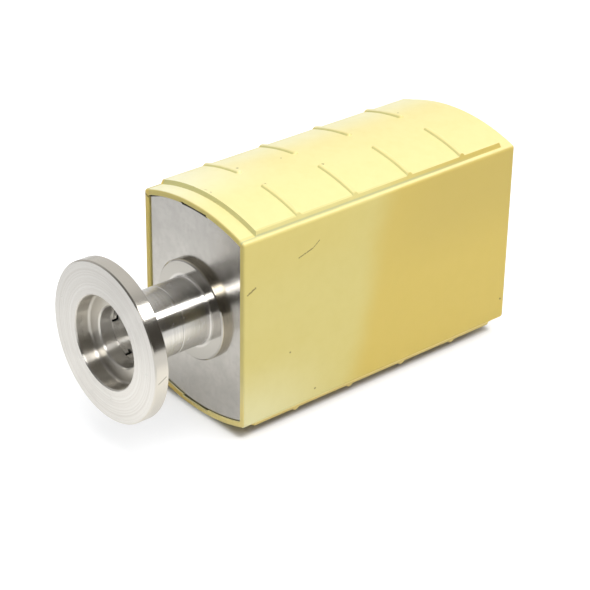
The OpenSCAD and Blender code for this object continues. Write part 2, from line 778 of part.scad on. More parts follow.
// Upright smoothing capacitors on the main board's right face
module capacitors() {
    y = main_board_end_y - link_l - capacitor_d;
    color("midnightblue") for (i = [0, 1])
        translate([board_t / 2, y - i * (capacitor_d + 1), -controller_w / 2 - capacitor_d])
            rotate([0, 90, 0]) difference() {
                cylinder(d = capacitor_d, h = capacitor_h);
                translate([0, 0, crimp_h]) rotate_extrude()
                    translate([capacitor_d / 2, 0]) circle(crimp_r, $fn = 24);
            }
}

// Voltage regulator with a heat tab and three legs
module voltage_regulator() {
    y = main_board_end_y - link_l - capacitor_d;
    color("black") translate([board_t / 2, y, controller_w / 2]) {
        translate([chip_stand, -regulator_l / 2, 0])
            cube([chip_h - chip_stand, regulator_l, regulator_w]);
        translate([0, -regulator_w / 2, regulator_w - eps])
            cube([chip_h / 2, regulator_w, lead_reach + eps]);
        for (i = [-1 : 1])
            translate([0, i * regulator_l / 3 - regulator_leg_w / 2, -lead_reach])
                cube([chip_h / 2, regulator_leg_w, lead_reach + eps]);
    }
}

// Trimmer for the zero setting, its screw in line with the rear cover's access hole
module trimmer_body() {
    color("royalblue") difference() {
        translate([board_t / 2, trimmer_end_y - trimmer_l, trimmer_z - trimmer_t / 2])
            cube([trimmer_h, trimmer_l, trimmer_t]);
        translate([trimmer_screw_x, 0, trimmer_z])
            disc_y(trimmer_screw_r + seat_gap, trimmer_end_y - trimmer_screw_r, trimmer_end_y + eps);
    }
}

module trimmer_screw() {
    head_y = trimmer_end_y + trimmer_screw_r;
    color("gold") translate([trimmer_screw_x, 0, trimmer_z]) difference() {
        disc_y(trimmer_screw_r, trimmer_end_y - trimmer_screw_r, head_y);
        translate([-2 * trimmer_screw_r, head_y - trimmer_slot_depth, -trimmer_slot_w / 2])
            cube([4 * trimmer_screw_r, trimmer_slot_depth + eps, trimmer_slot_w]);
    }
}

// Places a shape at each contact pin
module at_contacts() {
    for (i = [0 : contact_count - 1])
        polar_y(contact_ring_r, 360 / contact_count * i) children();
}

// Board that carries the socket's pins
module connector_board() {
    end_y = connector_board_y + board_t;
    color("seagreen") difference() {
        translate([-connector_board_w / 2, connector_board_y, -connector_board_h / 2])
            cube([connector_board_w, board_t, connector_board_h]);
        at_contacts() disc_y(contact_r + seat_gap, connector_board_y - eps, end_y + eps);
        links(connector_board_y - eps, end_y + eps, seat_gap);
    }
}

// Metal socket shell: flange outside the cover, threaded barrel through it, key slot for the plug
module socket_shell() {
    color("lightgray") difference() {
        turned([
            [well_d / 2, socket_y],
            [socket_r, socket_y],
            [socket_r, flange_y],
            [socket_flange_d / 2, flange_y],
            [socket_flange_d / 2, socket_end_y - socket_chamfer],
            [socket_flange_d / 2 - socket_chamfer, socket_end_y],
            [well_d / 2, socket_end_y]
        ]);
        translate([-key_w / 2, well_y, 0]) cube([key_w, well_depth + eps, well_d / 2 + key_depth]);
    }
}

// Insulator that holds the contact pins in the socket's barrel
module socket_insert() {
    color("dimgray") difference() {
        disc_y(well_d / 2 - seat_gap, socket_y, well_y);
        at_contacts() disc_y(contact_r + seat_gap, socket_y - eps, well_y + eps);
    }
}

module socket_pins() {
    color("gold") at_contacts()
        disc_y(contact_r, connector_board_y - solder_l, socket_end_y - contact_recess);
}

module socket_nut() {
    color("silver") hex_nut(socket_nut_flats, cover_y - socket_nut_t, cover_y, socket_r);
}

module socket_gasket() {
    color("black") disc_y(socket_flange_d / 2, cover_end_y, flange_y, socket_r + hole_gap);
}

// Stainless cover in the sleeve's rear pocket, with holes for the socket, screws and trimmer
module rear_cover() {
    color("darkgray") difference() {
        along_y(cover_y) linear_extrude(cover_t) section(lip_t + plate_gap);
        disc_y(socket_r + hole_gap, cover_y - eps, cover_end_y + eps);
        both_z() translate([0, 0, screw_z]) disc_y(screw_r + hole_gap, cover_y - eps, cover_end_y + eps);
        translate([trimmer_screw_x, 0, trimmer_z]) disc_y(access_r, cover_y - eps, cover_end_y + eps);
    }
}

// Cap screws that draw the cover against the carrier's tabs
module cover_screws() {
    color("silver") both_z() translate([0, 0, screw_z]) difference() {
        union() {
            disc_y(screw_r, cover_end_y - screw_l, cover_end_y + eps);
            disc_y(screw_head_r, cover_end_y, cover_end_y + screw_head_h);
        }
        along_y(cover_end_y + screw_head_h / 2) cylinder(r = screw_r, h = screw_head_h, $fn = 6);
    }
}

sensor_body();
port_baffle();
header_disc();
glass_seals();
feedthrough_pins();
filament();
front_plate();
carrier();
lock_washer();
sensor_nut();
sensor_board();
temperature_sensor();
sensor_links();
main_board();
controller_chip();
amplifier_chips();
bridge_resistors();
capacitors();
voltage_regulator();
trimmer_body();
trimmer_screw();
connector_links();
connector_board();
socket_shell();
socket_insert();
socket_pins();
socket_nut();
socket_gasket();
rear_cover();
cover_screws();
housing_sleeve();
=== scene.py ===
import json
import math

import bmesh
import bpy
from mathutils import Matrix, Vector


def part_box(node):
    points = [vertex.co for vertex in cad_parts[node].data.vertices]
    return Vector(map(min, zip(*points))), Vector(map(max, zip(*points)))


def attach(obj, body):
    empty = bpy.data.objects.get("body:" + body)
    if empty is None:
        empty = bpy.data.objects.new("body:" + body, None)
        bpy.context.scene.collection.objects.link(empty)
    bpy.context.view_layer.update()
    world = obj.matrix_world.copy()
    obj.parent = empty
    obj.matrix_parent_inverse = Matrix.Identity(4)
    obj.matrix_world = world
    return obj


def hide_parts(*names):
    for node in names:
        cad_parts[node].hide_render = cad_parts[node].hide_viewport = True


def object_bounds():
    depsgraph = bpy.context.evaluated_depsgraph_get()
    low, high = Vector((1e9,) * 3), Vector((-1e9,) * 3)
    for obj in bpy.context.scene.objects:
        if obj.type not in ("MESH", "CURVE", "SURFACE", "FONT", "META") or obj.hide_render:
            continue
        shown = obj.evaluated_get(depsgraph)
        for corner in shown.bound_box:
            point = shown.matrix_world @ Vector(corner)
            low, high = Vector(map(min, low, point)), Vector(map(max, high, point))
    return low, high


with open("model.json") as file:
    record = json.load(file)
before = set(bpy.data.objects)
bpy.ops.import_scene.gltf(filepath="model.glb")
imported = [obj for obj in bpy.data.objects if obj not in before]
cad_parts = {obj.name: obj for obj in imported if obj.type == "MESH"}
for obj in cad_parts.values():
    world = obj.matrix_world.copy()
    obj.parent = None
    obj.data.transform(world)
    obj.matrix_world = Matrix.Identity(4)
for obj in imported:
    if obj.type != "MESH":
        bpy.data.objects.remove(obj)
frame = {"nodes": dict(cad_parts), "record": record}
cad_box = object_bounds()
cad = frame["nodes"]

scene = bpy.context.scene
scene.view_settings.view_transform = "Standard"

MM = 0.001


def rgba(colour):
    return (*colour, 1.0)


# Camera at the photograph's viewing angle

CAMERA_AT = Vector((252.00, -173.03, 176.35)) * MM
CAMERA_RIGHT = Vector((0.64551, 0.76362, 0.01396))
CAMERA_FORWARD = Vector((-0.66562, 0.57144, -0.48001))
LENS_MM = 124.232
SENSOR_MM = 36.0
CLIP_START = 0.01
CLIP_END = 20.0


def add_camera():
    data = bpy.data.cameras.new("camera")
    data.sensor_fit = "HORIZONTAL"
    data.sensor_width = SENSOR_MM
    data.lens = LENS_MM
    data.clip_start = CLIP_START
    data.clip_end = CLIP_END
    camera = bpy.data.objects.new("camera", data)
    back = -CAMERA_FORWARD.normalized()
    right = (CAMERA_RIGHT - back * CAMERA_RIGHT.dot(back)).normalized()
    up = back.cross(right)
    axes = Matrix((right, up, back)).transposed()
    camera.matrix_world = Matrix.Translation(CAMERA_AT) @ axes.to_4x4()
    scene.collection.objects.link(camera)
    scene.camera = camera


add_camera()


# Shader node helpers

class Shader:
    """Adds nodes to a node tree. Each call returns the new node's output socket."""

    def __init__(self, tree):
        self.tree = tree
        tree.nodes.clear()

    def node(self, kind, inputs=None, **settings):
        made = self.tree.nodes.new(kind)
        for key, value in settings.items():
            setattr(made, key, value)
        for key, value in (inputs or {}).items():
            if isinstance(value, bpy.types.NodeSocket):
                self.tree.links.new(value, made.inputs[key])
            else:
                made.inputs[key].default_value = value
        return made

    def math(self, operation, a, b=0.0, clamp=False):
        return self.node("ShaderNodeMath", {0: a, 1: b}, operation=operation, use_clamp=clamp).outputs[0]

    def vector(self, operation, a, b=(0.0, 0.0, 0.0)):
        return self.node("ShaderNodeVectorMath", {0: a, 1: b}, operation=operation).outputs[0]

    def scaled(self, vector, factor):
        return self.node("ShaderNodeVectorMath", {0: vector, "Scale": factor}, operation="SCALE").outputs[0]

    def dot(self, a, b):
        return self.node("ShaderNodeVectorMath", {0: a, 1: b}, operation="DOT_PRODUCT").outputs["Value"]

    def length(self, a):
        return self.node("ShaderNodeVectorMath", {0: a}, operation="LENGTH").outputs["Value"]

    def join(self, x, y, z=0.0):
        return self.node("ShaderNodeCombineXYZ", {0: x, 1: y, 2: z}).outputs[0]

    def split(self, vector):
        return self.node("ShaderNodeSeparateXYZ", {0: vector}).outputs

    def noise(self, vector, scale, detail=2.0, roughness=0.5):
        inputs = {"Vector": vector, "Scale": scale, "Detail": detail, "Roughness": roughness}
        return self.node("ShaderNodeTexNoise", inputs).outputs["Fac"]

    def ramp(self, value, low, high, to_low=0.0, to_high=1.0, smooth=True):
        inputs = {"Value": value, "From Min": low, "From Max": high, "To Min": to_low, "To Max": to_high}
        kind = "SMOOTHSTEP" if smooth else "LINEAR"
        return self.node("ShaderNodeMapRange", inputs, interpolation_type=kind).outputs[0]

    def mix(self, factor, a, b):
        made = self.node("ShaderNodeMix", data_type="RGBA")
        for key, value in ((0, factor), (6, a), (7, b)):
            if isinstance(value, bpy.types.NodeSocket):
                self.tree.links.new(value, made.inputs[key])
            else:
                made.inputs[key].default_value = value
        return made.outputs[2]

    def bump(self, height, strength, distance):
        inputs = {"Height": height, "Strength": strength, "Distance": distance}
        return self.node("ShaderNodeBump", inputs).outputs[0]

    def place_mm(self):
        """Place on the part in mm."""
        place = self.node("ShaderNodeTexCoord").outputs["Object"]
        return self.scaled(place, 1 / MM)

    def around(self):
        """Direction of turning about the Y axis."""
        return self.node("ShaderNodeTangent", direction_type="RADIAL", axis="Y").outputs[0]

    def most(self, values):
        found = values[0]
        for value in values[1:]:
            found = self.math("MAXIMUM", found, value)
        return found

    def product(self, values):
        found = values[0]
        for value in values[1:]:
            found = self.math("MULTIPLY", found, value)
        return found

    def tinted(self, colour, tone, *masks):
        """The colour, moved towards a tone by the product of the masks."""
        return self.mix(self.product(masks), colour, rgba(tone))

    def away_from(self, place, first, last):
        """Distance of a place from the straight line between two points."""
        run = Vector(last) - Vector(first)
        offset = self.vector("SUBTRACT", place, first)
        share = self.math("DIVIDE", self.dot(offset, tuple(run)), run.length_squared, clamp=True)
        return self.length(self.vector("SUBTRACT", offset, self.scaled(tuple(run), share)))

    def surface(self, **inputs):
        """Ends the tree in a principled surface with the given sockets."""
        names = {key.replace("_", " ").title(): value for key, value in inputs.items()}
        names = {key.replace("Ior", "IOR"): value for key, value in names.items()}
        shader = self.node("ShaderNodeBsdfPrincipled", names)
        end = self.node("ShaderNodeOutputMaterial")
        self.tree.links.new(shader.outputs[0], end.inputs["Surface"])


def new_material(name):
    material = bpy.data.materials.new(name)
    material.use_nodes = True
    return material, Shader(material.node_tree)


def dress(piece, material):
    piece.data.materials.clear()
    piece.data.materials.append(material)


# Sleeve sizes in mm, as in the part's source

SLEEVE_LOW, SLEEVE_HIGH = (Vector(c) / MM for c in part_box("housing_sleeve"))
SLEEVE_Y, SLEEVE_END = SLEEVE_LOW.y, SLEEVE_HIGH.y
SLEEVE_L = SLEEVE_END - SLEEVE_Y
SLEEVE_MID = (SLEEVE_Y + SLEEVE_END) / 2
HALF_W = SLEEVE_HIGH.x
SIDE_H = 36.6
ARCH_RISE = 2.6
WALL = 2.0
LIP = 1.15
LONG_EDGE_R = 0.8
FRONT_EDGE_R = 0.35
REAR_EDGE_R = 0.7
KEYWAY_W = 7.35
KEYWAY_DEPTH = 0.35
FRONT_POCKET = 1.35
REAR_POCKET = 2.0
LIP_BEVEL = 0.08
PANEL_H = 0.8
PANEL_END = 3.1
PANEL_SIDE = 0.75
PANEL_SIDE_LEAN = 0.5
PANEL_END_LEAN = 0.3
RIB_STATIONS = 4
RIB_W = 1.25
RIB_H = 0.45
RIB_START = 3.6
RIB_FILLET = 0.2
FILLET = 0.07

SIDE_Z = SIDE_H / 2
CROWN_Z = SIDE_Z + ARCH_RISE
ARCH_R = (HALF_W ** 2 + ARCH_RISE ** 2) / (2 * ARCH_RISE)
ARCH_DROP = ARCH_R - CROWN_Z
EDGE_X = HALF_W - LONG_EDGE_R
EDGE_Z = math.sqrt((ARCH_R - LONG_EDGE_R) ** 2 - EDGE_X ** 2) - ARCH_DROP
EDGE_TILT = math.asin(EDGE_X / (ARCH_R - LONG_EDGE_R))
ARCH_END_X = ARCH_R * math.sin(EDGE_TILT)
PANEL_HALF_W = HALF_W - PANEL_SIDE
RIB_R = ((RIB_W / 2) ** 2 + RIB_H ** 2) / (2 * RIB_H)
RIB_PITCH = SLEEVE_L / (RIB_STATIONS + 1)

# Mesh points: stretches of half an arch as end and count of steps, and places along the sleeve
ARCH_STRETCHES = [
    (RIB_START - 0.9, 6),
    (RIB_START + 0.8, 15),
    (PANEL_HALF_W - 1.0, 16),
    (PANEL_HALF_W - 0.4, 10),
    (PANEL_HALF_W + 0.1, 10),
    (ARCH_END_X, 2),
]
SIDE_STEPS = 24
EDGE_STEPS = 7
RIM_STEPS = 8
LIP_STATIONS = [1.2, 2.2]
STEP_MARGIN = 0.15
STEP_POINTS = 19
RIB_REACH = 0.78
RIB_POINTS = 25
PLAIN_POINTS = 7
INNER_ARCH_POINTS = 12
SLEEVE_SHARP = 32.0


def spread(start, end, count):
    """Evenly spaced values from start to end, both included."""
    return [start + (end - start) * i / (count - 1) for i in range(count)]


def soft_min(a, b, k):
    blend = max(k - abs(a - b), 0.0) / k
    return min(a, b) - blend * blend * k / 4


def soft_max(a, b, k):
    return -soft_min(-a, -b, k)


def arch_z(x, wall):
    return math.sqrt((ARCH_R - wall) ** 2 - x * x) - ARCH_DROP


def rib_height(x, y):
    """Height of the nearest rib above the panel, negative away from it."""
    along = y - SLEEVE_Y
    station = min(max(round(along / RIB_PITCH), 1), RIB_STATIONS)
    away = math.hypot(along - station * RIB_PITCH, max(RIB_START - abs(x), 0.0))
    if away >= RIB_R:
        return RIB_H - RIB_R
    return math.sqrt(RIB_R ** 2 - away ** 2) - (RIB_R - RIB_H)


def relief(x, y):
    """Height of the panel and its ribs above the arch."""
    side = (PANEL_HALF_W - abs(x)) * PANEL_H / PANEL_SIDE_LEAN
    end = (min(y - SLEEVE_Y, SLEEVE_END - y) - PANEL_END) * PANEL_H / PANEL_END_LEAN
    top = PANEL_H + soft_max(rib_height(x, y), 0.0, RIB_FILLET)
    return max(soft_max(soft_min(soft_min(top, side, FILLET), end, FILLET), 0.0, FILLET), 0.0)


def edge_point(turn, side, angle):
    """Point of a long edge's rounding, as outer_outline gives them."""
    c = math.cos(angle)
    s = math.sin(angle)
    x = side * EDGE_X + LONG_EDGE_R * c
    z = EDGE_Z + LONG_EDGE_R * s
    return (turn * x, turn * z, turn * c, turn * s, False)


def outer_outline():
    """Points of the sleeve's outside as (x, z, normal x, normal z, on an arch), anticlockwise."""
    half = [0.0]
    for end, steps in ARCH_STRETCHES:
        half += spread(half[-1], end, steps + 1)[1:]
    xs = [-x for x in reversed(half[1:])] + half
    points = []
    for turn in (1, -1):
        for z in spread(-EDGE_Z, EDGE_Z, SIDE_STEPS + 1)[:-1]:
            points.append((turn * HALF_W, turn * z, turn, 0.0, False))
        for angle in spread(0.0, math.pi / 2 - EDGE_TILT, EDGE_STEPS + 1)[:-1]:
            points.append(edge_point(turn, 1, angle))
        for x in reversed(xs):
            nx = x / ARCH_R
            nz = math.sqrt(1 - nx ** 2)
            points.append((turn * x, turn * arch_z(x, 0.0), turn * nx, turn * nz, True))
        for angle in spread(math.pi / 2 + EDGE_TILT, math.pi, EDGE_STEPS + 1)[1:-1]:
            points.append(edge_point(turn, -1, angle))
    return points


def rim_arc(radius):
    """Steps of a rounded rim as (distance from the rim, inset)."""
    quarter = spread(0.0, math.pi / 2, RIM_STEPS + 1)
    return [(radius * (1 - math.cos(a)), radius * (1 - math.sin(a))) for a in quarter]


def outer_stations():
    """Stations along the sleeve as (y, inset of the rounded rims)."""
    front = [(SLEEVE_Y + away, inset) for away, inset in rim_arc(FRONT_EDGE_R)]
    rear = [(SLEEVE_END - away, inset) for away, inset in reversed(rim_arc(REAR_EDGE_R))]
    step = spread(PANEL_END - STEP_MARGIN, PANEL_END + PANEL_END_LEAN + STEP_MARGIN, STEP_POINTS)
    ends = LIP_STATIONS + step
    inner = list(ends)
    for i in range(1, RIB_STATIONS + 1):
        start = i * RIB_PITCH - RIB_REACH
        end = i * RIB_PITCH + RIB_REACH
        inner += spread(inner[-1], start, PLAIN_POINTS)[1:-1] + spread(start, end, RIB_POINTS)
    inner += spread(inner[-1], SLEEVE_L - ends[-1], PLAIN_POINTS)[1:-1]
    inner += [SLEEVE_L - y for y in reversed(ends)]
    return front + [(SLEEVE_Y + y, 0.0) for y in inner] + rear


def inner_outline(wall):
    """Points of the sleeve's inside for a given wall thickness, with its two keyways, anticlockwise."""
    half_w = HALF_W - wall
    key_x = KEYWAY_W / 2
    key_z = arch_z(key_x, LIP) + KEYWAY_DEPTH
    arch = [(x, arch_z(x, wall)) for x in spread(half_w, key_x, INNER_ARCH_POINTS)]
    upper = arch + [(key_x, key_z)]
    upper += [(-x, z) for x, z in reversed(upper)]
    return upper + [(-x, -z) for x, z in upper]


def ring(mesh, points):
    return [mesh.verts.new(Vector(p) * MM) for p in points]


def skin(mesh, a, b):
    """Quads between two rings of the same count."""
    n = len(a)
    for i in range(n):
        j = (i + 1) % n
        mesh.faces.new((a[i], a[j], b[j], b[i]))


def zip_rings(mesh, a, b):
    """Triangles between two rings round the Y axis that have different counts."""
    def turned(loop):
        found = sorted((math.atan2(v.co.z, v.co.x), i) for i, v in enumerate(loop))
        return [(angle, loop[i]) for angle, i in found]

    first, second = turned(a), turned(b)
    i = j = 0
    while i < len(first) or j < len(second):
        va, vb = first[i % len(first)][1], second[j % len(second)][1]
        next_a = first[(i + 1) % len(first)][0] + (2 * math.pi if i + 1 >= len(first) else 0)
        next_b = second[(j + 1) % len(second)][0] + (2 * math.pi if j + 1 >= len(second) else 0)
        if j >= len(second) or (i < len(first) and next_a <= next_b):
            mesh.faces.new((va, first[(i + 1) % len(first)][1], vb))
            i += 1
        else:
            mesh.faces.new((va, second[(j + 1) % len(second)][1], vb))
            j += 1


def finish_piece(mesh, name, sharp_degrees):
    """Turns a bmesh into a shaded object that rides on the part."""
    bmesh.ops.recalc_face_normals(mesh, faces=mesh.faces)
    data = bpy.data.meshes.new(name)
    mesh.to_mesh(data)
    mesh.free()
    data.shade_smooth()
    data.set_sharp_from_angle(angle=math.radians(sharp_degrees))
    piece = bpy.data.objects.new(name, data)
    scene.collection.objects.link(piece)
    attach(piece, "root")
    return piece


def make_sleeve():
    """The moulded sleeve with rounded rims, filleted panels and domed ribs."""
    mesh = bmesh.new()
    outline = outer_outline()
    rings = []
    for y, inset in outer_stations():
        points = []
        for x, z, nx, nz, on_arch in outline:
            lift = (relief(x, y) if on_arch else 0.0) - inset
            points.append((x + nx * lift, y, z + nz * lift))
        rings.append(ring(mesh, points))
    for a, b in zip(rings, rings[1:]):
        skin(mesh, a, b)
    inside = [
        (SLEEVE_Y, LIP - LIP_BEVEL),
        (SLEEVE_Y + LIP_BEVEL, LIP),
        (SLEEVE_Y + FRONT_POCKET, LIP),
        (SLEEVE_Y + FRONT_POCKET, WALL),
        (SLEEVE_END - REAR_POCKET, WALL),
        (SLEEVE_END - REAR_POCKET, LIP),
        (SLEEVE_END - LIP_BEVEL, LIP),
        (SLEEVE_END, LIP - LIP_BEVEL),
    ]
    inner = [ring(mesh, [(x, y, z) for x, z in inner_outline(wall)]) for y, wall in inside]
    for a, b in zip(inner, inner[1:]):
        skin(mesh, a, b)
    zip_rings(mesh, rings[0], inner[0])
    zip_rings(mesh, rings[-1], inner[-1])
    piece = finish_piece(mesh, "moulded_sleeve", SLEEVE_SHARP)
    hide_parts("housing_sleeve")
    return piece


# Port sizes in mm, as in the part's source

FLANGE_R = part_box("sensor_body")[1].x / MM
PORT_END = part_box("sensor_body")[1].y / MM
PLATE_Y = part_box("front_plate")[0].y / MM
HEADER_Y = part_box("header_disc")[0].y / MM
BAFFLE_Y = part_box("port_baffle")[0].y / MM
RIM_T = 2.8
CONE_DEGREES = 15.0
RIM_FRONT_CHAMFER = 0.25
RIM_BACK_CHAMFER = 0.15
RECESS_R = 8.6
RECESS_DEPTH = 3.0
RECESS_FILLET = 0.6
RECESS_CHAMFER = 0.25
TUBE_R = 6.35
BORE_R = 5.65
NECK_FILLET = 0.8
SEAM_Y = 12.6
SEAM_HALF_W = 0.12
SEAM_DEPTH = 0.06
COLLAR_R = 9.5
COLLAR_T = 1.4
COLLAR_FILLET = 0.3
COLLAR_BEVEL = 0.3
SHANK_R = 8.0
HEADER_R = 6.6
EASE = 0.06
BRACE = 0.03
PORT_SEGMENTS = 224
FILLET_POINTS = 8
PORT_SHARP = 28.0

PLATE_SET = PLATE_Y - SLEEVE_Y
COLLAR_Y = PLATE_Y - COLLAR_T
CONE_Y = RIM_T + (FLANGE_R - RIM_BACK_CHAMFER - TUBE_R) * math.tan(math.radians(CONE_DEGREES))


def fillet(before, corner, after, radius):
    """Points of the arc that rounds a corner of a profile."""
    p = Vector(corner)
    u = (Vector(before) - p).normalized()
    v = (Vector(after) - p).normalized()
    half = u.angle(v) / 2
    centre = p + (u + v).normalized() * radius / math.sin(half)
    first = p + u * radius / math.tan(half) - centre
    last = p + v * radius / math.tan(half) - centre
    turn = first.angle(last)
    points = []
    for t in spread(0.0, 1.0, FILLET_POINTS):
        arm = first * math.sin(turn * (1 - t)) + last * math.sin(turn * t)
        points.append(tuple(centre + arm / math.sin(turn)))
    return points


def eased(corners):
    """Profile through (radius, y, rounding) corners."""
    points = []
    count = len(corners)
    for i, (r, y, rounding) in enumerate(corners):
        if rounding > 0:
            points += fillet(corners[i - 1][:2], (r, y), corners[(i + 1) % count][:2], rounding)
        else:
            points.append((r, y))
    return points


def braced(profile):
    """The closed profile with extra points near the ends of long stretches, which shade straight then."""
    points = []
    for a, b in zip(profile, profile[1:] + profile[:1]):
        a, b = Vector(a), Vector(b)
        points.append(tuple(a))
        step = (b - a).normalized() * BRACE
        if (b - a).length > 4 * BRACE:
            points += [tuple(a + step), tuple(b - step)]
    return points


def lathe(mesh, profile, segments):
    """Turns a closed (radius, y) profile about the Y axis."""
    turn = [2 * math.pi * i / segments for i in range(segments)]
    rings = []
    for r, y in braced(profile):
        rings.append(ring(mesh, [(r * math.cos(a), y, r * math.sin(a)) for a in turn]))
    for a, b in zip(rings, rings[1:] + rings[:1]):
        skin(mesh, a, b)


def make_port():
    """Small flange, tube, collar and shank as one turning with eased edges."""
    profile = eased([
        (RECESS_R + RECESS_CHAMFER, 0.0, EASE),
        (FLANGE_R - RIM_FRONT_CHAMFER, 0.0, EASE),
        (FLANGE_R, RIM_FRONT_CHAMFER, EASE),
        (FLANGE_R, RIM_T - RIM_BACK_CHAMFER, EASE),
        (FLANGE_R - RIM_BACK_CHAMFER, RIM_T, EASE),
        (TUBE_R, CONE_Y, NECK_FILLET),
        (TUBE_R, SEAM_Y - SEAM_HALF_W, 0.0),
        (TUBE_R - SEAM_DEPTH, SEAM_Y, 0.0),
        (TUBE_R, SEAM_Y + SEAM_HALF_W, 0.0),
        (TUBE_R, COLLAR_Y, COLLAR_FILLET),
        (COLLAR_R - COLLAR_BEVEL, COLLAR_Y, 2 * EASE),
        (COLLAR_R, COLLAR_Y + COLLAR_BEVEL, 2 * EASE),
        (COLLAR_R, PLATE_Y, 0.0),
        (SHANK_R, PLATE_Y, 0.0),
        (SHANK_R, PORT_END, 0.0),
        (HEADER_R, PORT_END, 0.0),
        (HEADER_R, HEADER_Y, 0.0),
        (BORE_R, HEADER_Y, 0.0),
        (BORE_R, RECESS_DEPTH + RECESS_CHAMFER, EASE),
        (BORE_R + RECESS_CHAMFER, RECESS_DEPTH, EASE),
        (RECESS_R, RECESS_DEPTH, RECESS_FILLET),
        (RECESS_R, RECESS_CHAMFER, EASE),
    ])
    mesh = bmesh.new()
    lathe(mesh, profile, PORT_SEGMENTS)
    piece = finish_piece(mesh, "turned_port", PORT_SHARP)
    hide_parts("sensor_body")
    return piece


sleeve = make_sleeve()
port = make_port()


# Materials. A pair in mm is where a tone begins and where it is full.

GRAIN_DEPTH = 0.02 * MM
# Turns the blur of a reflection across the turning marks
ACROSS = 0.25

# Noises as scale, detail and roughness
TURNING_NOISE = (9.0, 4.0, 0.65)
RING_NOISE = (2.2, 4.0)
STAIN_NOISE = (0.45, 4.0, 0.6)
ROLLING_NOISE = (2.2, 4.0, 0.6)
CLOUD_NOISE = (0.28, 3.0)
SPECK_NOISE = (0.9, 5.0, 0.7)
TONE_LINE_NOISE = (0.06, 3.0)
MOTTLE_NOISE = (0.35, 4.0, 0.6)
RAGGED_NOISE = (2.4, 3.0, 0.7)
SATIN_NOISE = (5.0, 3.0, 0.6)
SMALL_NOISE = (1.5, 3.0, 0.6)
SMALL_GRAIN = (12.0, 2.0)
LACQUER_NOISE = (2.0, 2.0)

# The stretch of a noise's values over which a look changes
NOISE_MID = (0.3, 0.7)
STAIN_MID = (0.45, 0.75)
SPECK_MID = (0.42, 0.72)
MOTTLE_MID = (0.35, 0.75)
SMALL_MID = (0.35, 0.65)

STEEL_DARK = (0.65, 0.63, 0.60)
STEEL_LIGHT = (0.73, 0.72, 0.70)
RECESS_TONE = (0.59, 0.565, 0.515)
BORE_TONE = (0.72, 0.70, 0.66)
# Painted shade: black in the bore behind the baffle cup
BAFFLE_SHADE = (0.03, 0.03, 0.03)
COLLAR_TONE = (0.48, 0.465, 0.435)
# Painted reflection of the sleeve's yellow lip on the collar's edge
COLLAR_EDGE_REFLECTION = (0.46, 0.42, 0.34)
RIM_TONE = (0.62, 0.59, 0.535)
RIM_SCRATCH_TONE = (0.12, 0.11, 0.07)
RIM_SCRATCH_SHARE = 0.45
RIM_SCRATCH_FADE = 2.5
# Scratch on the flange's rim in mm as start, end and half width
RIM_SCRATCH = ((14.92, 0.62, -1.55), (14.98, 2.15, -0.63), 0.07)

COLLAR_OUT = (TUBE_R + 0.3, TUBE_R + 0.8)
COLLAR_BACK = (COLLAR_Y - 1.0, COLLAR_Y - 0.3)
COLLAR_EDGE = (COLLAR_R - 0.15, COLLAR_R - 0.05)
MOUTH_IN = (RECESS_R + 0.2, RECESS_R + 0.1)
MOUTH_FRONT = (RECESS_DEPTH + 0.4, RECESS_DEPTH + 0.1)
BORE_IN = (BORE_R + 0.3, BORE_R + 0.1)
BEHIND_BAFFLE = (BAFFLE_Y - 0.02, BAFFLE_Y + 0.02)
RIM_OUT = (FLANGE_R - 0.35, FLANGE_R - 0.1)

TURNED_ROUGH = (0.21, 0.26)
TURNED_STAIN = 0.04
TURNED_BUMP = 0.028
RIM_POLISH = 0.35
POLISHED_ROUGH = 0.5
INSIDE_ROUGH = 1.25
TURNED_STREAK = 0.95
POLISHED_STREAK = 0.4
INSIDE_STREAK = 0.05


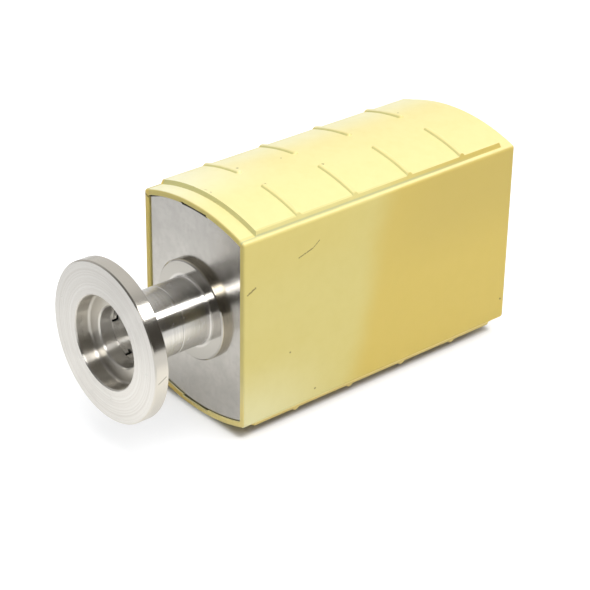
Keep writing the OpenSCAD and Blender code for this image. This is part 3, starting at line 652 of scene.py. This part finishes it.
def turned_steel():
    """Stainless steel with turning marks, which blur reflections across them, and a polished collar; with
    painted shade behind the baffle cup and a painted reflection of the sleeve's lip on the collar's edge.
    """
    material, s = new_material("turned_stainless")
    place = s.place_mm()
    x, y, z = s.split(place)
    radius = s.length(s.join(x, 0.0, z))
    rings = s.join(radius, y)
    grain = s.noise(rings, *TURNING_NOISE)
    stain = s.noise(place, *STAIN_NOISE)

    collar = s.product([s.ramp(radius, *COLLAR_OUT), s.ramp(y, *COLLAR_BACK)])
    mouth = s.product([s.ramp(radius, *MOUTH_IN), s.ramp(y, *MOUTH_FRONT)])
    bore = s.ramp(radius, *BORE_IN)
    rim = s.ramp(radius, *RIM_OUT)
    polished = s.most([collar, s.product([rim, RIM_POLISH])])
    inside = s.most([mouth, bore])

    turned = s.ramp(grain, *NOISE_MID, *TURNED_ROUGH, False)
    stained = s.math("ADD", turned, s.ramp(stain, *STAIN_MID, 0.0, TURNED_STAIN))
    smoother = s.ramp(polished, 0.0, 1.0, 1.0, POLISHED_ROUGH, False)
    rougher = s.ramp(inside, 0.0, 1.0, 1.0, INSIDE_ROUGH, False)
    rough = s.product([stained, smoother, rougher])
    streak = s.ramp(polished, 0.0, 1.0, TURNED_STREAK, POLISHED_STREAK, False)
    streak = s.math("ADD", streak, s.ramp(inside, 0.0, 1.0, 0.0, INSIDE_STREAK, False))

    banded = s.ramp(s.noise(rings, *RING_NOISE), *NOISE_MID)
    tone = s.mix(banded, rgba(STEEL_DARK), rgba(STEEL_LIGHT))
    tone = s.tinted(tone, RECESS_TONE, mouth)
    tone = s.tinted(tone, BORE_TONE, bore)
    # Painted shade behind the baffle cup
    tone = s.tinted(tone, BAFFLE_SHADE, bore, s.ramp(y, *BEHIND_BAFFLE))
    tone = s.tinted(tone, COLLAR_TONE, collar)
    # Painted reflection of the yellow lip on the collar's edge
    tone = s.tinted(tone, COLLAR_EDGE_REFLECTION, collar, s.ramp(radius, *COLLAR_EDGE))
    tone = s.tinted(tone, RIM_TONE, rim)
    first, last, width = RIM_SCRATCH
    away = s.away_from(place, first, last)
    scratch = s.ramp(away, width, RIM_SCRATCH_FADE * width, RIM_SCRATCH_SHARE, 0.0)
    tone = s.tinted(tone, RIM_SCRATCH_TONE, scratch)

    s.surface(
        base_color=tone,
        metallic=1.0,
        roughness=rough,
        anisotropic=streak,
        anisotropic_rotation=ACROSS,
        tangent=s.around(),
        normal=s.bump(grain, TURNED_BUMP, GRAIN_DEPTH),
    )
    return material


# Squeezes the sheet's noise along X and Y, which draws its grain out along Z
SHEET_SQUEEZE = (6.0, 6.0, 1.2)
SHEET_STAIN = 0.05
SHEET_BUMP = 0.10
SHEET_DARK = 0.90
SHEET_SPECK = 0.82
SPECK_SHARE = 0.6

# Painted shade in the gap along a plate's arched edges: its widths in mm in the keyways and at the left,
# below and above
GAP_SHADE = (0.02, 0.018, 0.015)
GAP_SHADE_SHARE = 0.95
GAP_SHADE_SOFT = 0.03
SLOT_ENDS = (KEYWAY_W / 2, KEYWAY_W / 2 - 0.1)
SLOT_SHADE = (0.12, 0.40)
LEFT_X = (-8.0, -12.5)
LEFT_SHADE = (0.0, 0.36)
UPPER_HALF = (-1.0, 1.0)


def sheet_steel(name, tone, rough, edged=False, drawn=0.0):
    """Stainless sheet with a fine upright grain, painted shade in the gap at a plate's edges or the streaks
    of a drawn cup.
    """
    material, s = new_material(name)
    place = s.place_mm()
    grain = s.noise(s.vector("MULTIPLY", place, SHEET_SQUEEZE), *ROLLING_NOISE)
    stain = s.noise(place, *STAIN_NOISE)
    rolled = s.ramp(grain, *NOISE_MID, *rough, False)
    dulled = s.math("ADD", rolled, s.ramp(stain, *STAIN_MID, 0.0, SHEET_STAIN))
    dark = tuple(c * SHEET_DARK for c in tone)
    spotted = tuple(c * SHEET_SPECK for c in tone)
    colour = s.mix(s.ramp(s.noise(place, *CLOUD_NOISE), *NOISE_MID), rgba(dark), rgba(tone))
    speck = s.ramp(s.noise(place, *SPECK_NOISE), *SPECK_MID)
    colour = s.tinted(colour, spotted, speck, SPECK_SHARE)
    # Painted shade in the gap between the plate and the sleeve's lip, wider in the keyway slots and at the
    # left
    if edged:
        x, y, z = s.split(place)
        arch = s.length(s.join(x, 0.0, s.math("ADD", s.math("ABSOLUTE", z), ARCH_DROP)))
        inset = s.math("SUBTRACT", ARCH_R - LIP, arch)
        slot = s.ramp(s.math("ABSOLUTE", x), *SLOT_ENDS)
        in_slot = s.product([slot, s.ramp(z, *UPPER_HALF, *SLOT_SHADE)])
        at_left = s.product([s.ramp(x, *LEFT_X), s.ramp(z, *UPPER_HALF, *LEFT_SHADE)])
        beyond = s.math("SUBTRACT", inset, s.most([in_slot, at_left]))
        colour = s.tinted(colour, GAP_SHADE, s.ramp(beyond, GAP_SHADE_SOFT, -GAP_SHADE_SOFT), GAP_SHADE_SHARE)
    s.surface(
        base_color=colour,
        metallic=1.0,
        roughness=dulled,
        anisotropic=drawn,
        anisotropic_rotation=ACROSS,
        tangent=s.around(),
        normal=s.bump(grain, SHEET_BUMP, GRAIN_DEPTH),
    )
    return material


# Colours of the sleeve, among them painted light, shade and sheen

CREAM = (0.715, 0.615, 0.215)
REAR_CREAM = (0.70, 0.535, 0.125)
DULL_CREAM = (0.58, 0.45, 0.12)
WARM_CREAM = (0.715, 0.585, 0.170)
# Painted light: paler cream where the floor's bounce lights the side's lower front
BOUNCE_LIT_CREAM = (0.87, 0.84, 0.52)
# Painted sheen: paler cream on faces that lean up or down
SHEEN_CREAM = (0.83, 0.74, 0.35)
# Painted sheen: paler still on the left of those faces
LEFT_SHEEN_CREAM = (0.87, 0.84, 0.58)
# Painted light on the upper panel's side walls
PANEL_WALL_LIGHT = (0.75, 0.665, 0.275)
# Painted shade: a grey line in the crease at the upper panel's foot
PANEL_FOOT_SHADE = (0.50, 0.51, 0.29)
# Painted light on the lower panel's side walls
SKIRT_LIGHT = (0.95, 0.80, 0.30)
# Painted shade: dark amber on the sleeve's underside near its long edges
UNDERSIDE_SHADE = (0.38, 0.22, 0.03)
# Painted shade on the front faces of the upper panel and ribs
STEP_SHADE = (0.62, 0.59, 0.27)
# Painted light from the floor's bounce on the lower front lip, amber towards the left
LOWER_LIP_BOUNCE = (0.92, 0.76, 0.27)
AMBER_LIP_BOUNCE = (0.82, 0.58, 0.11)
LEFT_LIP_TONE = (0.80, 0.62, 0.16)
# Painted shade: near black inside the keyway slits
SLIT_SHADE = (0.07, 0.055, 0.03)
MOTTLE_TONE = (0.60, 0.50, 0.14)
MARK_TONE = (0.19, 0.135, 0.03)

# How much of those colours shows where they are full

DULL_SHARE = 0.55
WARM_SHARE = 0.5
BOUNCE_LIT_SHARE = 0.7
SHEEN_SHARE = 0.9
FAR_SHARE = 0.7
PANEL_FOOT_SHARE = 0.65
UNDERSIDE_SHARE = 0.9
LOWER_LIP_SHARE = 0.9
AMBER_LIP_SHARE = 0.8
SLIT_SHADE_SHARE = 0.85
MOTTLE_SHARE = 0.08
MARK_SHARE = 0.75

# Where those colours lie, in mm from the middle of the sleeve's front rim

TONE_LINE_Y = 29.4
TONE_LINE_LEAN = 0.225
TONE_LINE_BLEND = (-4.0, 4.0)
TONE_LINE_DRIFT = 8.0
DULL_Y = (22.0, 50.0)
DULL_Z = (-4.0, 12.0)
WARM_Y = (34.0, 20.0)
WARM_Z = (4.0, 16.0)
BOUNCE_LIT_Y = (26.0, 0.0)
BOUNCE_LIT_Z = (-4.0, -20.0)
PALE_X = (6.0, -12.0)
PALE_Y = (24.0, 2.0)
FAR_X = (-3.0, -12.0)
PANEL_WALL_OUT = (PANEL_HALF_W + 0.40, PANEL_HALF_W + 0.25)
PANEL_WALL_IN = (PANEL_HALF_W - 0.65, PANEL_HALF_W - 0.55)
PANEL_WALL_Y = (60.0, 15.0)
PANEL_FOOT_IN = (PANEL_HALF_W - 0.12, PANEL_HALF_W - 0.04)
PANEL_FOOT_OUT = (PANEL_HALF_W + 0.22, PANEL_HALF_W + 0.10)
PANEL_FOOT_Y = (62.0, 40.0)
ABOVE_SIDE = (SIDE_Z - 0.3, SIDE_Z)
BELOW_SIDE = (-SIDE_Z + 0.3, -SIDE_Z)
# Painted light from the floor's bounce on the lower long edges: where it lies and how much lighter it makes
# them
STRIP_X = (PANEL_HALF_W - 1.4, PANEL_HALF_W - 0.8)
STRIP_BOUNCE_GAIN = 1.25
UNDERSIDE_X = (8.0, 12.0)
UNDERSIDE_Z = (-SIDE_Z - 0.55, -SIDE_Z - 0.85)
STEP_Y = (1.5, 2.5)
STEP_Z = (0.0, 8.0)
LOWER_LIP_Z = (-8.0, -16.0)
AMBER_LIP_X = (3.0, -6.0)
LEFT_LIP_X = (-12.6, -12.9)
# Painted shade inside the keyway slits, between the plate and the pocket's step
SLIT_FRONT = (PLATE_SET - 0.11, PLATE_SET - 0.03)
SLIT_BACK = (FRONT_POCKET + 0.2, FRONT_POCKET)
SLIT_Z = (15.0, 16.5)

# How far a surface's normal leans where those colours set in

CROWN_UP = (0.45, 0.90)
UNDER_DOWN = (-0.1, -0.5)
FRONT_FACING = (-0.5, -0.9)
INWARD_MM = (-1.0, -6.0)


# Wear on the sleeve, from the same point

def on_side(y, z):
    """Place on the sleeve's right-hand side."""
    return (HALF_W, y, z)


def on_panel(x, y):
    """Place on the sleeve's upper panel."""
    return (x, y, arch_z(x, 0.0) + PANEL_H)


# Scratches, and a crack in the front rim's corner, as start, end and half width
SCRATCHES = [
    (on_side(12.3, 11.9), on_side(15.5, 12.8), 0.10),
    (on_side(15.5, 12.8), on_side(17.0, 13.9), 0.07),
    (on_side(0.9, 8.4), on_side(2.5, 9.2), 0.14),
    (on_panel(-5.9, 2.9), on_panel(-1.2, 4.1), 0.04),
    ((-14.2, 0.0, 17.7), (-12.6, 0.0, 16.9), 0.12),
]
SCRATCH_FADE = 2.2
# Specks as place and radius
SPECKS = [
    (on_side(10.6, -6.5), 0.16),
    (on_side(16.7, -16.2), 0.20),
    (on_side(64.1, -14.0), 0.20),
    (on_panel(3.05, 13.7), 0.22),
    (on_panel(3.1, 27.1), 0.20),
    (on_panel(-5.8, 53.7), 0.16),
    (on_panel(-5.6, 14.35), 0.20),
    (on_panel(-3.6, 22.9), 0.14),
    (on_panel(-0.1, 4.1), 0.11),
]
SPECK_FADE = 2.0
RAGGED = (0.35, 1.2)
MARK_DEPTH = 2.0
PLASTIC_ROUGH = (0.42, 0.54)
PLASTIC_SHINE = 0.4
PLASTIC_BUMP = 0.25


def sleeve_cream(s, place):
    """The sleeve's cream: warmer behind a leaning line, darker towards the upper rear, warmer towards the
    upper front, and with painted light from the floor's bounce at the lower front.
    """
    x, y, z = s.split(place)
    drift = s.math("MULTIPLY", s.math("SUBTRACT", s.noise(place, *TONE_LINE_NOISE), 0.5), TONE_LINE_DRIFT)
    edge = s.math("ADD", s.math("MULTIPLY", z, TONE_LINE_LEAN), TONE_LINE_Y)
    behind = s.math("ADD", s.math("SUBTRACT", y, edge), drift)
    colour = s.mix(s.ramp(behind, *TONE_LINE_BLEND), rgba(CREAM), rgba(REAR_CREAM))
    colour = s.tinted(colour, DULL_CREAM, s.ramp(y, *DULL_Y), s.ramp(z, *DULL_Z), DULL_SHARE)
    colour = s.tinted(colour, WARM_CREAM, s.ramp(y, *WARM_Y), s.ramp(z, *WARM_Z), WARM_SHARE)
    # Painted light from the floor's bounce at the lower front
    return s.tinted(colour, BOUNCE_LIT_CREAM, s.ramp(y, *BOUNCE_LIT_Y), s.ramp(z, *BOUNCE_LIT_Z), BOUNCE_LIT_SHARE)


def cream_of_faces(s, colour, place, normal):
    """The colour with painted sheen on faces that lean up or down, painted light and shade on the panels'
    walls, the underside and the front lip, and painted shade in the keyway slits.
    """
    x, y, z = s.split(place)
    aside = s.math("ABSOLUTE", x)
    lean = s.split(normal)
    upright = lean["Z"]

    # Painted sheen: paler on faces that lean up or down, palest on the left of the upper faces
    crown = s.ramp(s.math("ABSOLUTE", upright), *CROWN_UP)
    colour = s.tinted(colour, SHEEN_CREAM, crown, SHEEN_SHARE)
    near = s.product([s.ramp(x, *PALE_X), s.ramp(y, *PALE_Y)])
    pale = s.most([near, s.product([s.ramp(x, *FAR_X), FAR_SHARE])])
    colour = s.tinted(colour, LEFT_SHEEN_CREAM, pale, crown)

    # Painted light on the panels' side walls
    panel_wall = s.product([s.ramp(aside, *PANEL_WALL_OUT), s.ramp(aside, *PANEL_WALL_IN)])
    above = s.ramp(z, *ABOVE_SIDE)
    colour = s.tinted(colour, PANEL_WALL_LIGHT, panel_wall, above, s.ramp(y, *PANEL_WALL_Y))
    # Painted shade: a grey line in the crease at the upper panel's foot
    foot = s.product([s.ramp(aside, *PANEL_FOOT_IN), s.ramp(aside, *PANEL_FOOT_OUT)])
    colour = s.tinted(colour, PANEL_FOOT_SHADE, foot, above, s.ramp(y, *PANEL_FOOT_Y), PANEL_FOOT_SHARE)
    colour = s.tinted(colour, SKIRT_LIGHT, panel_wall, s.ramp(z, *BELOW_SIDE))

    under = s.ramp(upright, *UNDER_DOWN)
    # Painted light from the floor's bounce: the lower long edges made lighter
    strip = s.product([under, s.ramp(aside, *STRIP_X)])
    colour = s.mix(strip, colour, s.scaled(colour, STRIP_BOUNCE_GAIN))
    # Painted shade: dark amber on the underside near the long edges
    low = s.product([under, s.ramp(aside, *UNDERSIDE_X), s.ramp(z, *UNDERSIDE_Z)])
    colour = s.tinted(colour, UNDERSIDE_SHADE, low, UNDERSIDE_SHARE)

    facing = s.ramp(lean["Y"], *FRONT_FACING)
    # Painted shade on the front faces of the upper panel and ribs
    colour = s.tinted(colour, STEP_SHADE, facing, s.ramp(y, *STEP_Y), s.ramp(z, *STEP_Z))
    # Painted light from the floor's bounce on the lower front lip, amber towards the left
    lip = s.product([facing, s.ramp(z, *LOWER_LIP_Z)])
    colour = s.tinted(colour, LOWER_LIP_BOUNCE, lip, LOWER_LIP_SHARE)
    colour = s.tinted(colour, AMBER_LIP_BOUNCE, lip, s.ramp(x, *AMBER_LIP_X), AMBER_LIP_SHARE)
    colour = s.tinted(colour, LEFT_LIP_TONE, facing, s.ramp(x, *LEFT_LIP_X))

    # Painted shade inside the keyway slits
    inward = s.ramp(s.dot(normal, s.join(x, 0.0, z)), *INWARD_MM)
    groove = s.product([s.ramp(y, *SLIT_FRONT), s.ramp(y, *SLIT_BACK)])
    ends = s.ramp(s.math("ABSOLUTE", z), *SLIT_Z)
    return s.tinted(colour, SLIT_SHADE, inward, groove, ends, SLIT_SHADE_SHARE)


def wear_marks(s, place):
    """Mask of the scratches and specks."""
    ragged = s.ramp(s.noise(place, *RAGGED_NOISE), *NOISE_MID, *RAGGED, False)
    marks = []
    for first, last, width in SCRATCHES:
        away = s.math("DIVIDE", s.away_from(place, first, last), ragged)
        marks.append(s.ramp(away, width, SCRATCH_FADE * width, 1.0, 0.0))
    for centre, width in SPECKS:
        away = s.math("DIVIDE", s.length(s.vector("SUBTRACT", place, centre)), ragged)
        marks.append(s.ramp(away, width, SPECK_FADE * width, 1.0, 0.0))
    return s.most(marks)


def sleeve_plastic():
    """Aged cream-yellow moulding with a fine satin grain and light wear, and with painted light, shade and
    sheen in its colour.
    """
    material, s = new_material("sleeve_plastic")
    place = s.vector("SUBTRACT", s.place_mm(), (0.0, SLEEVE_Y, 0.0))
    normal = s.node("ShaderNodeNewGeometry").outputs["Normal"]
    colour = cream_of_faces(s, sleeve_cream(s, place), place, normal)
    mottle = s.noise(place, *MOTTLE_NOISE)
    colour = s.tinted(colour, MOTTLE_TONE, s.ramp(mottle, *MOTTLE_MID, 0.0, MOTTLE_SHARE))
    marked = wear_marks(s, place)
    colour = s.tinted(colour, MARK_TONE, marked, MARK_SHARE)
    grain = s.noise(place, *SATIN_NOISE)
    height = s.math("SUBTRACT", grain, s.math("MULTIPLY", marked, MARK_DEPTH))
    s.surface(
        base_color=colour,
        roughness=s.ramp(mottle, *NOISE_MID, *PLASTIC_ROUGH, False),
        specular_ior_level=PLASTIC_SHINE,
        normal=s.bump(height, PLASTIC_BUMP, GRAIN_DEPTH),
    )
    return material


SMALL_BUMP = 0.1
SMOOTHER = 0.85
ROUGHER = 1.15


def plain(name, colour, dark, roughness, metallic=0.0, **more):
    """A small part's material: two close tones, a varied roughness and a fine grain."""
    material, s = new_material(name)
    place = s.place_mm()
    tone = s.noise(place, *SMALL_NOISE)
    grain = s.noise(place, *SMALL_GRAIN)
    s.surface(
        base_color=s.mix(s.ramp(tone, *SMALL_MID), rgba(dark), rgba(colour)),
        metallic=metallic,
        roughness=s.ramp(grain, *NOISE_MID, roughness * SMOOTHER, roughness * ROUGHER, False),
        normal=s.bump(grain, SMALL_BUMP, GRAIN_DEPTH),
        **more,
    )
    return material


LACQUER_GREEN = (0.02, 0.13, 0.06)
TRACK_GREEN = (0.05, 0.24, 0.11)
TRACK_CELLS = 0.55
TRACKS_PER_CELL = 6.0
TRACK_FOLD = 0.5
TRACK_EDGE = (0.30, 0.36)
TRACK_DEPTH = 0.03 * MM
TRACK_BUMP = 0.3
LACQUER_ROUGH = (0.30, 0.42)


def board_green():
    """Lacquered circuit board with straight copper tracks under the lacquer."""
    material, s = new_material("circuit_board")
    place = s.place_mm()
    inputs = {"Vector": place, "Scale": TRACK_CELLS}
    cells = s.node("ShaderNodeTexVoronoi", inputs, distance="MANHATTAN").outputs["Distance"]
    stripe = s.math("PINGPONG", s.math("MULTIPLY", cells, TRACKS_PER_CELL), TRACK_FOLD)
    track = s.ramp(stripe, *TRACK_EDGE)
    s.surface(
        base_color=s.mix(track, rgba(LACQUER_GREEN), rgba(TRACK_GREEN)),
        roughness=s.ramp(s.noise(place, *LACQUER_NOISE), *NOISE_MID, *LACQUER_ROUGH, False),
        normal=s.bump(track, TRACK_BUMP, TRACK_DEPTH),
    )
    return material


# Small parts as colour, darker colour, roughness and metallic
SMALL_PARTS = {
    "zinc_hardware": ((0.66, 0.66, 0.64), (0.58, 0.58, 0.57), 0.28, 1.0),
    "hot_wire": ((0.36, 0.35, 0.34), (0.30, 0.29, 0.28), 0.35, 1.0),
    "gilt_pins": ((0.84, 0.64, 0.28), (0.76, 0.56, 0.24), 0.22, 1.0),
    "brass_screw": ((0.78, 0.60, 0.28), (0.68, 0.50, 0.22), 0.30, 1.0),
    "socket_plastic": ((0.022, 0.022, 0.024), (0.016, 0.016, 0.017), 0.42),
    "seal_rubber": ((0.020, 0.020, 0.020), (0.014, 0.014, 0.014), 0.75),
    "chip_black": ((0.020, 0.020, 0.022), (0.014, 0.014, 0.015), 0.55),
    "resistor_enamel": ((0.45, 0.34, 0.20), (0.38, 0.28, 0.16), 0.30),
    "capacitor_can": ((0.03, 0.04, 0.14), (0.02, 0.03, 0.10), 0.30),
    "trimmer_blue": ((0.03, 0.09, 0.38), (0.02, 0.07, 0.30), 0.28),
}
SEAL_GLASS = ((0.16, 0.26, 0.24), (0.12, 0.21, 0.20), 0.08)
SEAL_CLEAR = 0.5
PLATE_TONE = (0.57, 0.555, 0.53)
PLATE_ROUGH = (0.18, 0.25)
CUP_TONE = (0.86, 0.84, 0.80)
CUP_ROUGH = (0.25, 0.30)

looks = {name: plain(name, *row) for name, row in SMALL_PARTS.items()}
looks["seal_glass"] = plain("seal_glass", *SEAL_GLASS, transmission_weight=SEAL_CLEAR)
looks["circuit_board"] = board_green()
looks["sleeve_plastic"] = sleeve_plastic()
looks["turned_stainless"] = turned_steel()
looks["plate_stainless"] = sheet_steel("plate_stainless", PLATE_TONE, PLATE_ROUGH, edged=True)
looks["sheet_stainless"] = sheet_steel("sheet_stainless", CUP_TONE, CUP_ROUGH, drawn=1.0)

for row in frame["record"]["subparts"]:
    dress(cad[row["node"]], looks[row["material_slot"]])
dress(sleeve, looks["sleeve_plastic"])
dress(port, looks["turned_stainless"])


# Floor

FLOOR_Z = cad_box[0].z
FLOOR_HALF = 4.0
PAPER = (0.63, 0.63, 0.63)
# Half sizes in mm of the sleeve's foot, round which the paper clears to white
FOOT_HALF_W = HALF_W - 3.35
FOOT_HALF_L = SLEEVE_L / 2 - 2.05
# The paper's lift by distance from the foot, as from mm, to mm, from level, to level
SEEN_LIFT = (0.0, 1.9, 0.0, 0.50)
MIRRORED_RISE = (3.0, 24.0, 0.24, 0.52)
MIRRORED_FALL = (34.0, 80.0, 0.0, 0.38)
SEEN_TINT = (0.97, 0.98, 1.0)
MIRRORED_TINT = (1.0, 0.975, 0.90)


def floor_paper():
    """Matt paper, lifted to white where the camera or a reflection sees it away from the part's shadow."""
    material, s = new_material("floor_paper")
    x, y, z = s.split(s.place_mm())
    aside = s.math("SUBTRACT", s.math("ABSOLUTE", x), FOOT_HALF_W)
    along = s.math("SUBTRACT", s.math("ABSOLUTE", s.math("SUBTRACT", y, SLEEVE_MID)), FOOT_HALF_L)
    away = s.length(s.join(s.math("MAXIMUM", aside, 0.0), s.math("MAXIMUM", along, 0.0)))
    path = s.node("ShaderNodeLightPath").outputs
    matt = s.node("ShaderNodeBsdfDiffuse", {"Color": rgba(PAPER)}).outputs[0]
    shown = s.most([path["Is Camera Ray"], path["Is Glossy Ray"], path["Is Transmission Ray"]])
    seen = s.ramp(away, *SEEN_LIFT)
    mirrored = s.math("SUBTRACT", s.ramp(away, *MIRRORED_RISE), s.ramp(away, *MIRRORED_FALL))
    level = s.node("ShaderNodeMix", {0: path["Is Glossy Ray"], 2: seen, 3: mirrored}).outputs[0]
    tint = s.mix(path["Is Glossy Ray"], rgba(SEEN_TINT), rgba(MIRRORED_TINT))
    glow_inputs = {"Color": tint, "Strength": s.math("MULTIPLY", shown, level)}
    glow = s.node("ShaderNodeEmission", glow_inputs).outputs[0]
    both = s.node("ShaderNodeAddShader", {0: matt, 1: glow}).outputs[0]
    end = s.node("ShaderNodeOutputMaterial")
    s.tree.links.new(both, end.inputs["Surface"])
    return material


def add_floor():
    mesh = bmesh.new()
    bmesh.ops.create_grid(mesh, x_segments=1, y_segments=1, size=FLOOR_HALF)
    data = bpy.data.meshes.new("floor")
    mesh.to_mesh(data)
    mesh.free()
    floor = bpy.data.objects.new("floor", data)
    floor.location = (0.0, 0.0, FLOOR_Z)
    scene.collection.objects.link(floor)
    dress(floor, floor_paper())


# Lamps and surroundings

TARGET = Vector((0.0, 40.0, 0.0)) * MM
# Lamps as azimuth, elevation, distance, width, height, radiance and whether they are only mirrored
LAMPS = {
    "softbox_over": (0.0, 90.0, 1.0, 0.9, 0.9, 2.15, False),
    "softbox_right": (0.0, 50.5, 0.8, 2.0, 0.38, 2.8, False),
    "strip_right": (0.0, 53.5, 0.7, 1.8, 0.215, 6.5, True),
}
# The room's pale places as azimuth and elevation, how near their middle they begin and are full, and colour
BACKDROP_WAY = (140.0, 35.0)
BACKDROP_NEAR = (0.2, 0.85)
BACKDROP = (0.82, 0.81, 0.79)
PALE_WALL_WAY = (-125.0, 20.0)
PALE_WALL_NEAR = (0.5, 0.95)
PALE_WALL = (0.22, 0.215, 0.21)
ROOM = (0.072, 0.066, 0.058)
# Soft light on matt surfaces, from the horizon and from overhead
FILL_UP = (0.0, 0.9)
FILL_LOW = (0.17, 0.17, 0.17)
FILL_HIGH = (0.45, 0.45, 0.45)
WHITE = (1.0, 1.0, 1.0)


def toward(azimuth, elevation):
    """Unit vector at an azimuth from +X towards +Y and an elevation, in degrees."""
    a = math.radians(azimuth)
    e = math.radians(elevation)
    return Vector((math.cos(a) * math.cos(e), math.sin(a) * math.cos(e), math.sin(e)))


def add_softbox(name, azimuth, elevation, distance, width, height, radiance, mirrored):
    """Area lamp, its width level, which either lights matt surfaces or is only mirrored in shiny ones."""
    data = bpy.data.lights.new(name, "AREA")
    data.shape = "RECTANGLE"
    data.size = width
    data.size_y = height
    data.energy = radiance * math.pi * width * height
    lamp = bpy.data.objects.new(name, data)
    way = toward(azimuth, elevation)
    lamp.location = TARGET + way * distance
    lamp.rotation_euler = way.to_track_quat("Z", "Y").to_euler()
    lamp.visible_camera = False
    lamp.visible_diffuse = not mirrored
    lamp.visible_glossy = mirrored
    scene.collection.objects.link(lamp)


def add_world():
    """White to the camera, a dim room with two pale places to reflections, and soft light to the rest."""
    world = bpy.data.worlds.new("studio")
    world.use_nodes = True
    scene.world = world
    s = Shader(world.node_tree)
    way = s.node("ShaderNodeTexCoord").outputs["Generated"]
    backdrop = s.ramp(s.dot(way, tuple(toward(*BACKDROP_WAY))), *BACKDROP_NEAR)
    wall = s.ramp(s.dot(way, tuple(toward(*PALE_WALL_WAY))), *PALE_WALL_NEAR)
    room = s.mix(wall, rgba(ROOM), rgba(PALE_WALL))
    room = s.tinted(room, BACKDROP, backdrop)
    path = s.node("ShaderNodeLightPath").outputs
    fill = s.mix(s.ramp(s.split(way)[2], *FILL_UP), rgba(FILL_LOW), rgba(FILL_HIGH))
    lit = s.mix(path["Is Diffuse Ray"], room, fill)
    shown = s.tinted(lit, WHITE, path["Is Camera Ray"])
    light = s.node("ShaderNodeBackground", {"Color": shown, "Strength": 1.0}).outputs[0]
    end = s.node("ShaderNodeOutputWorld")
    s.tree.links.new(light, end.inputs["Surface"])


add_floor()
for lamp_name, lamp_row in LAMPS.items():
    add_softbox(lamp_name, *lamp_row)
add_world()
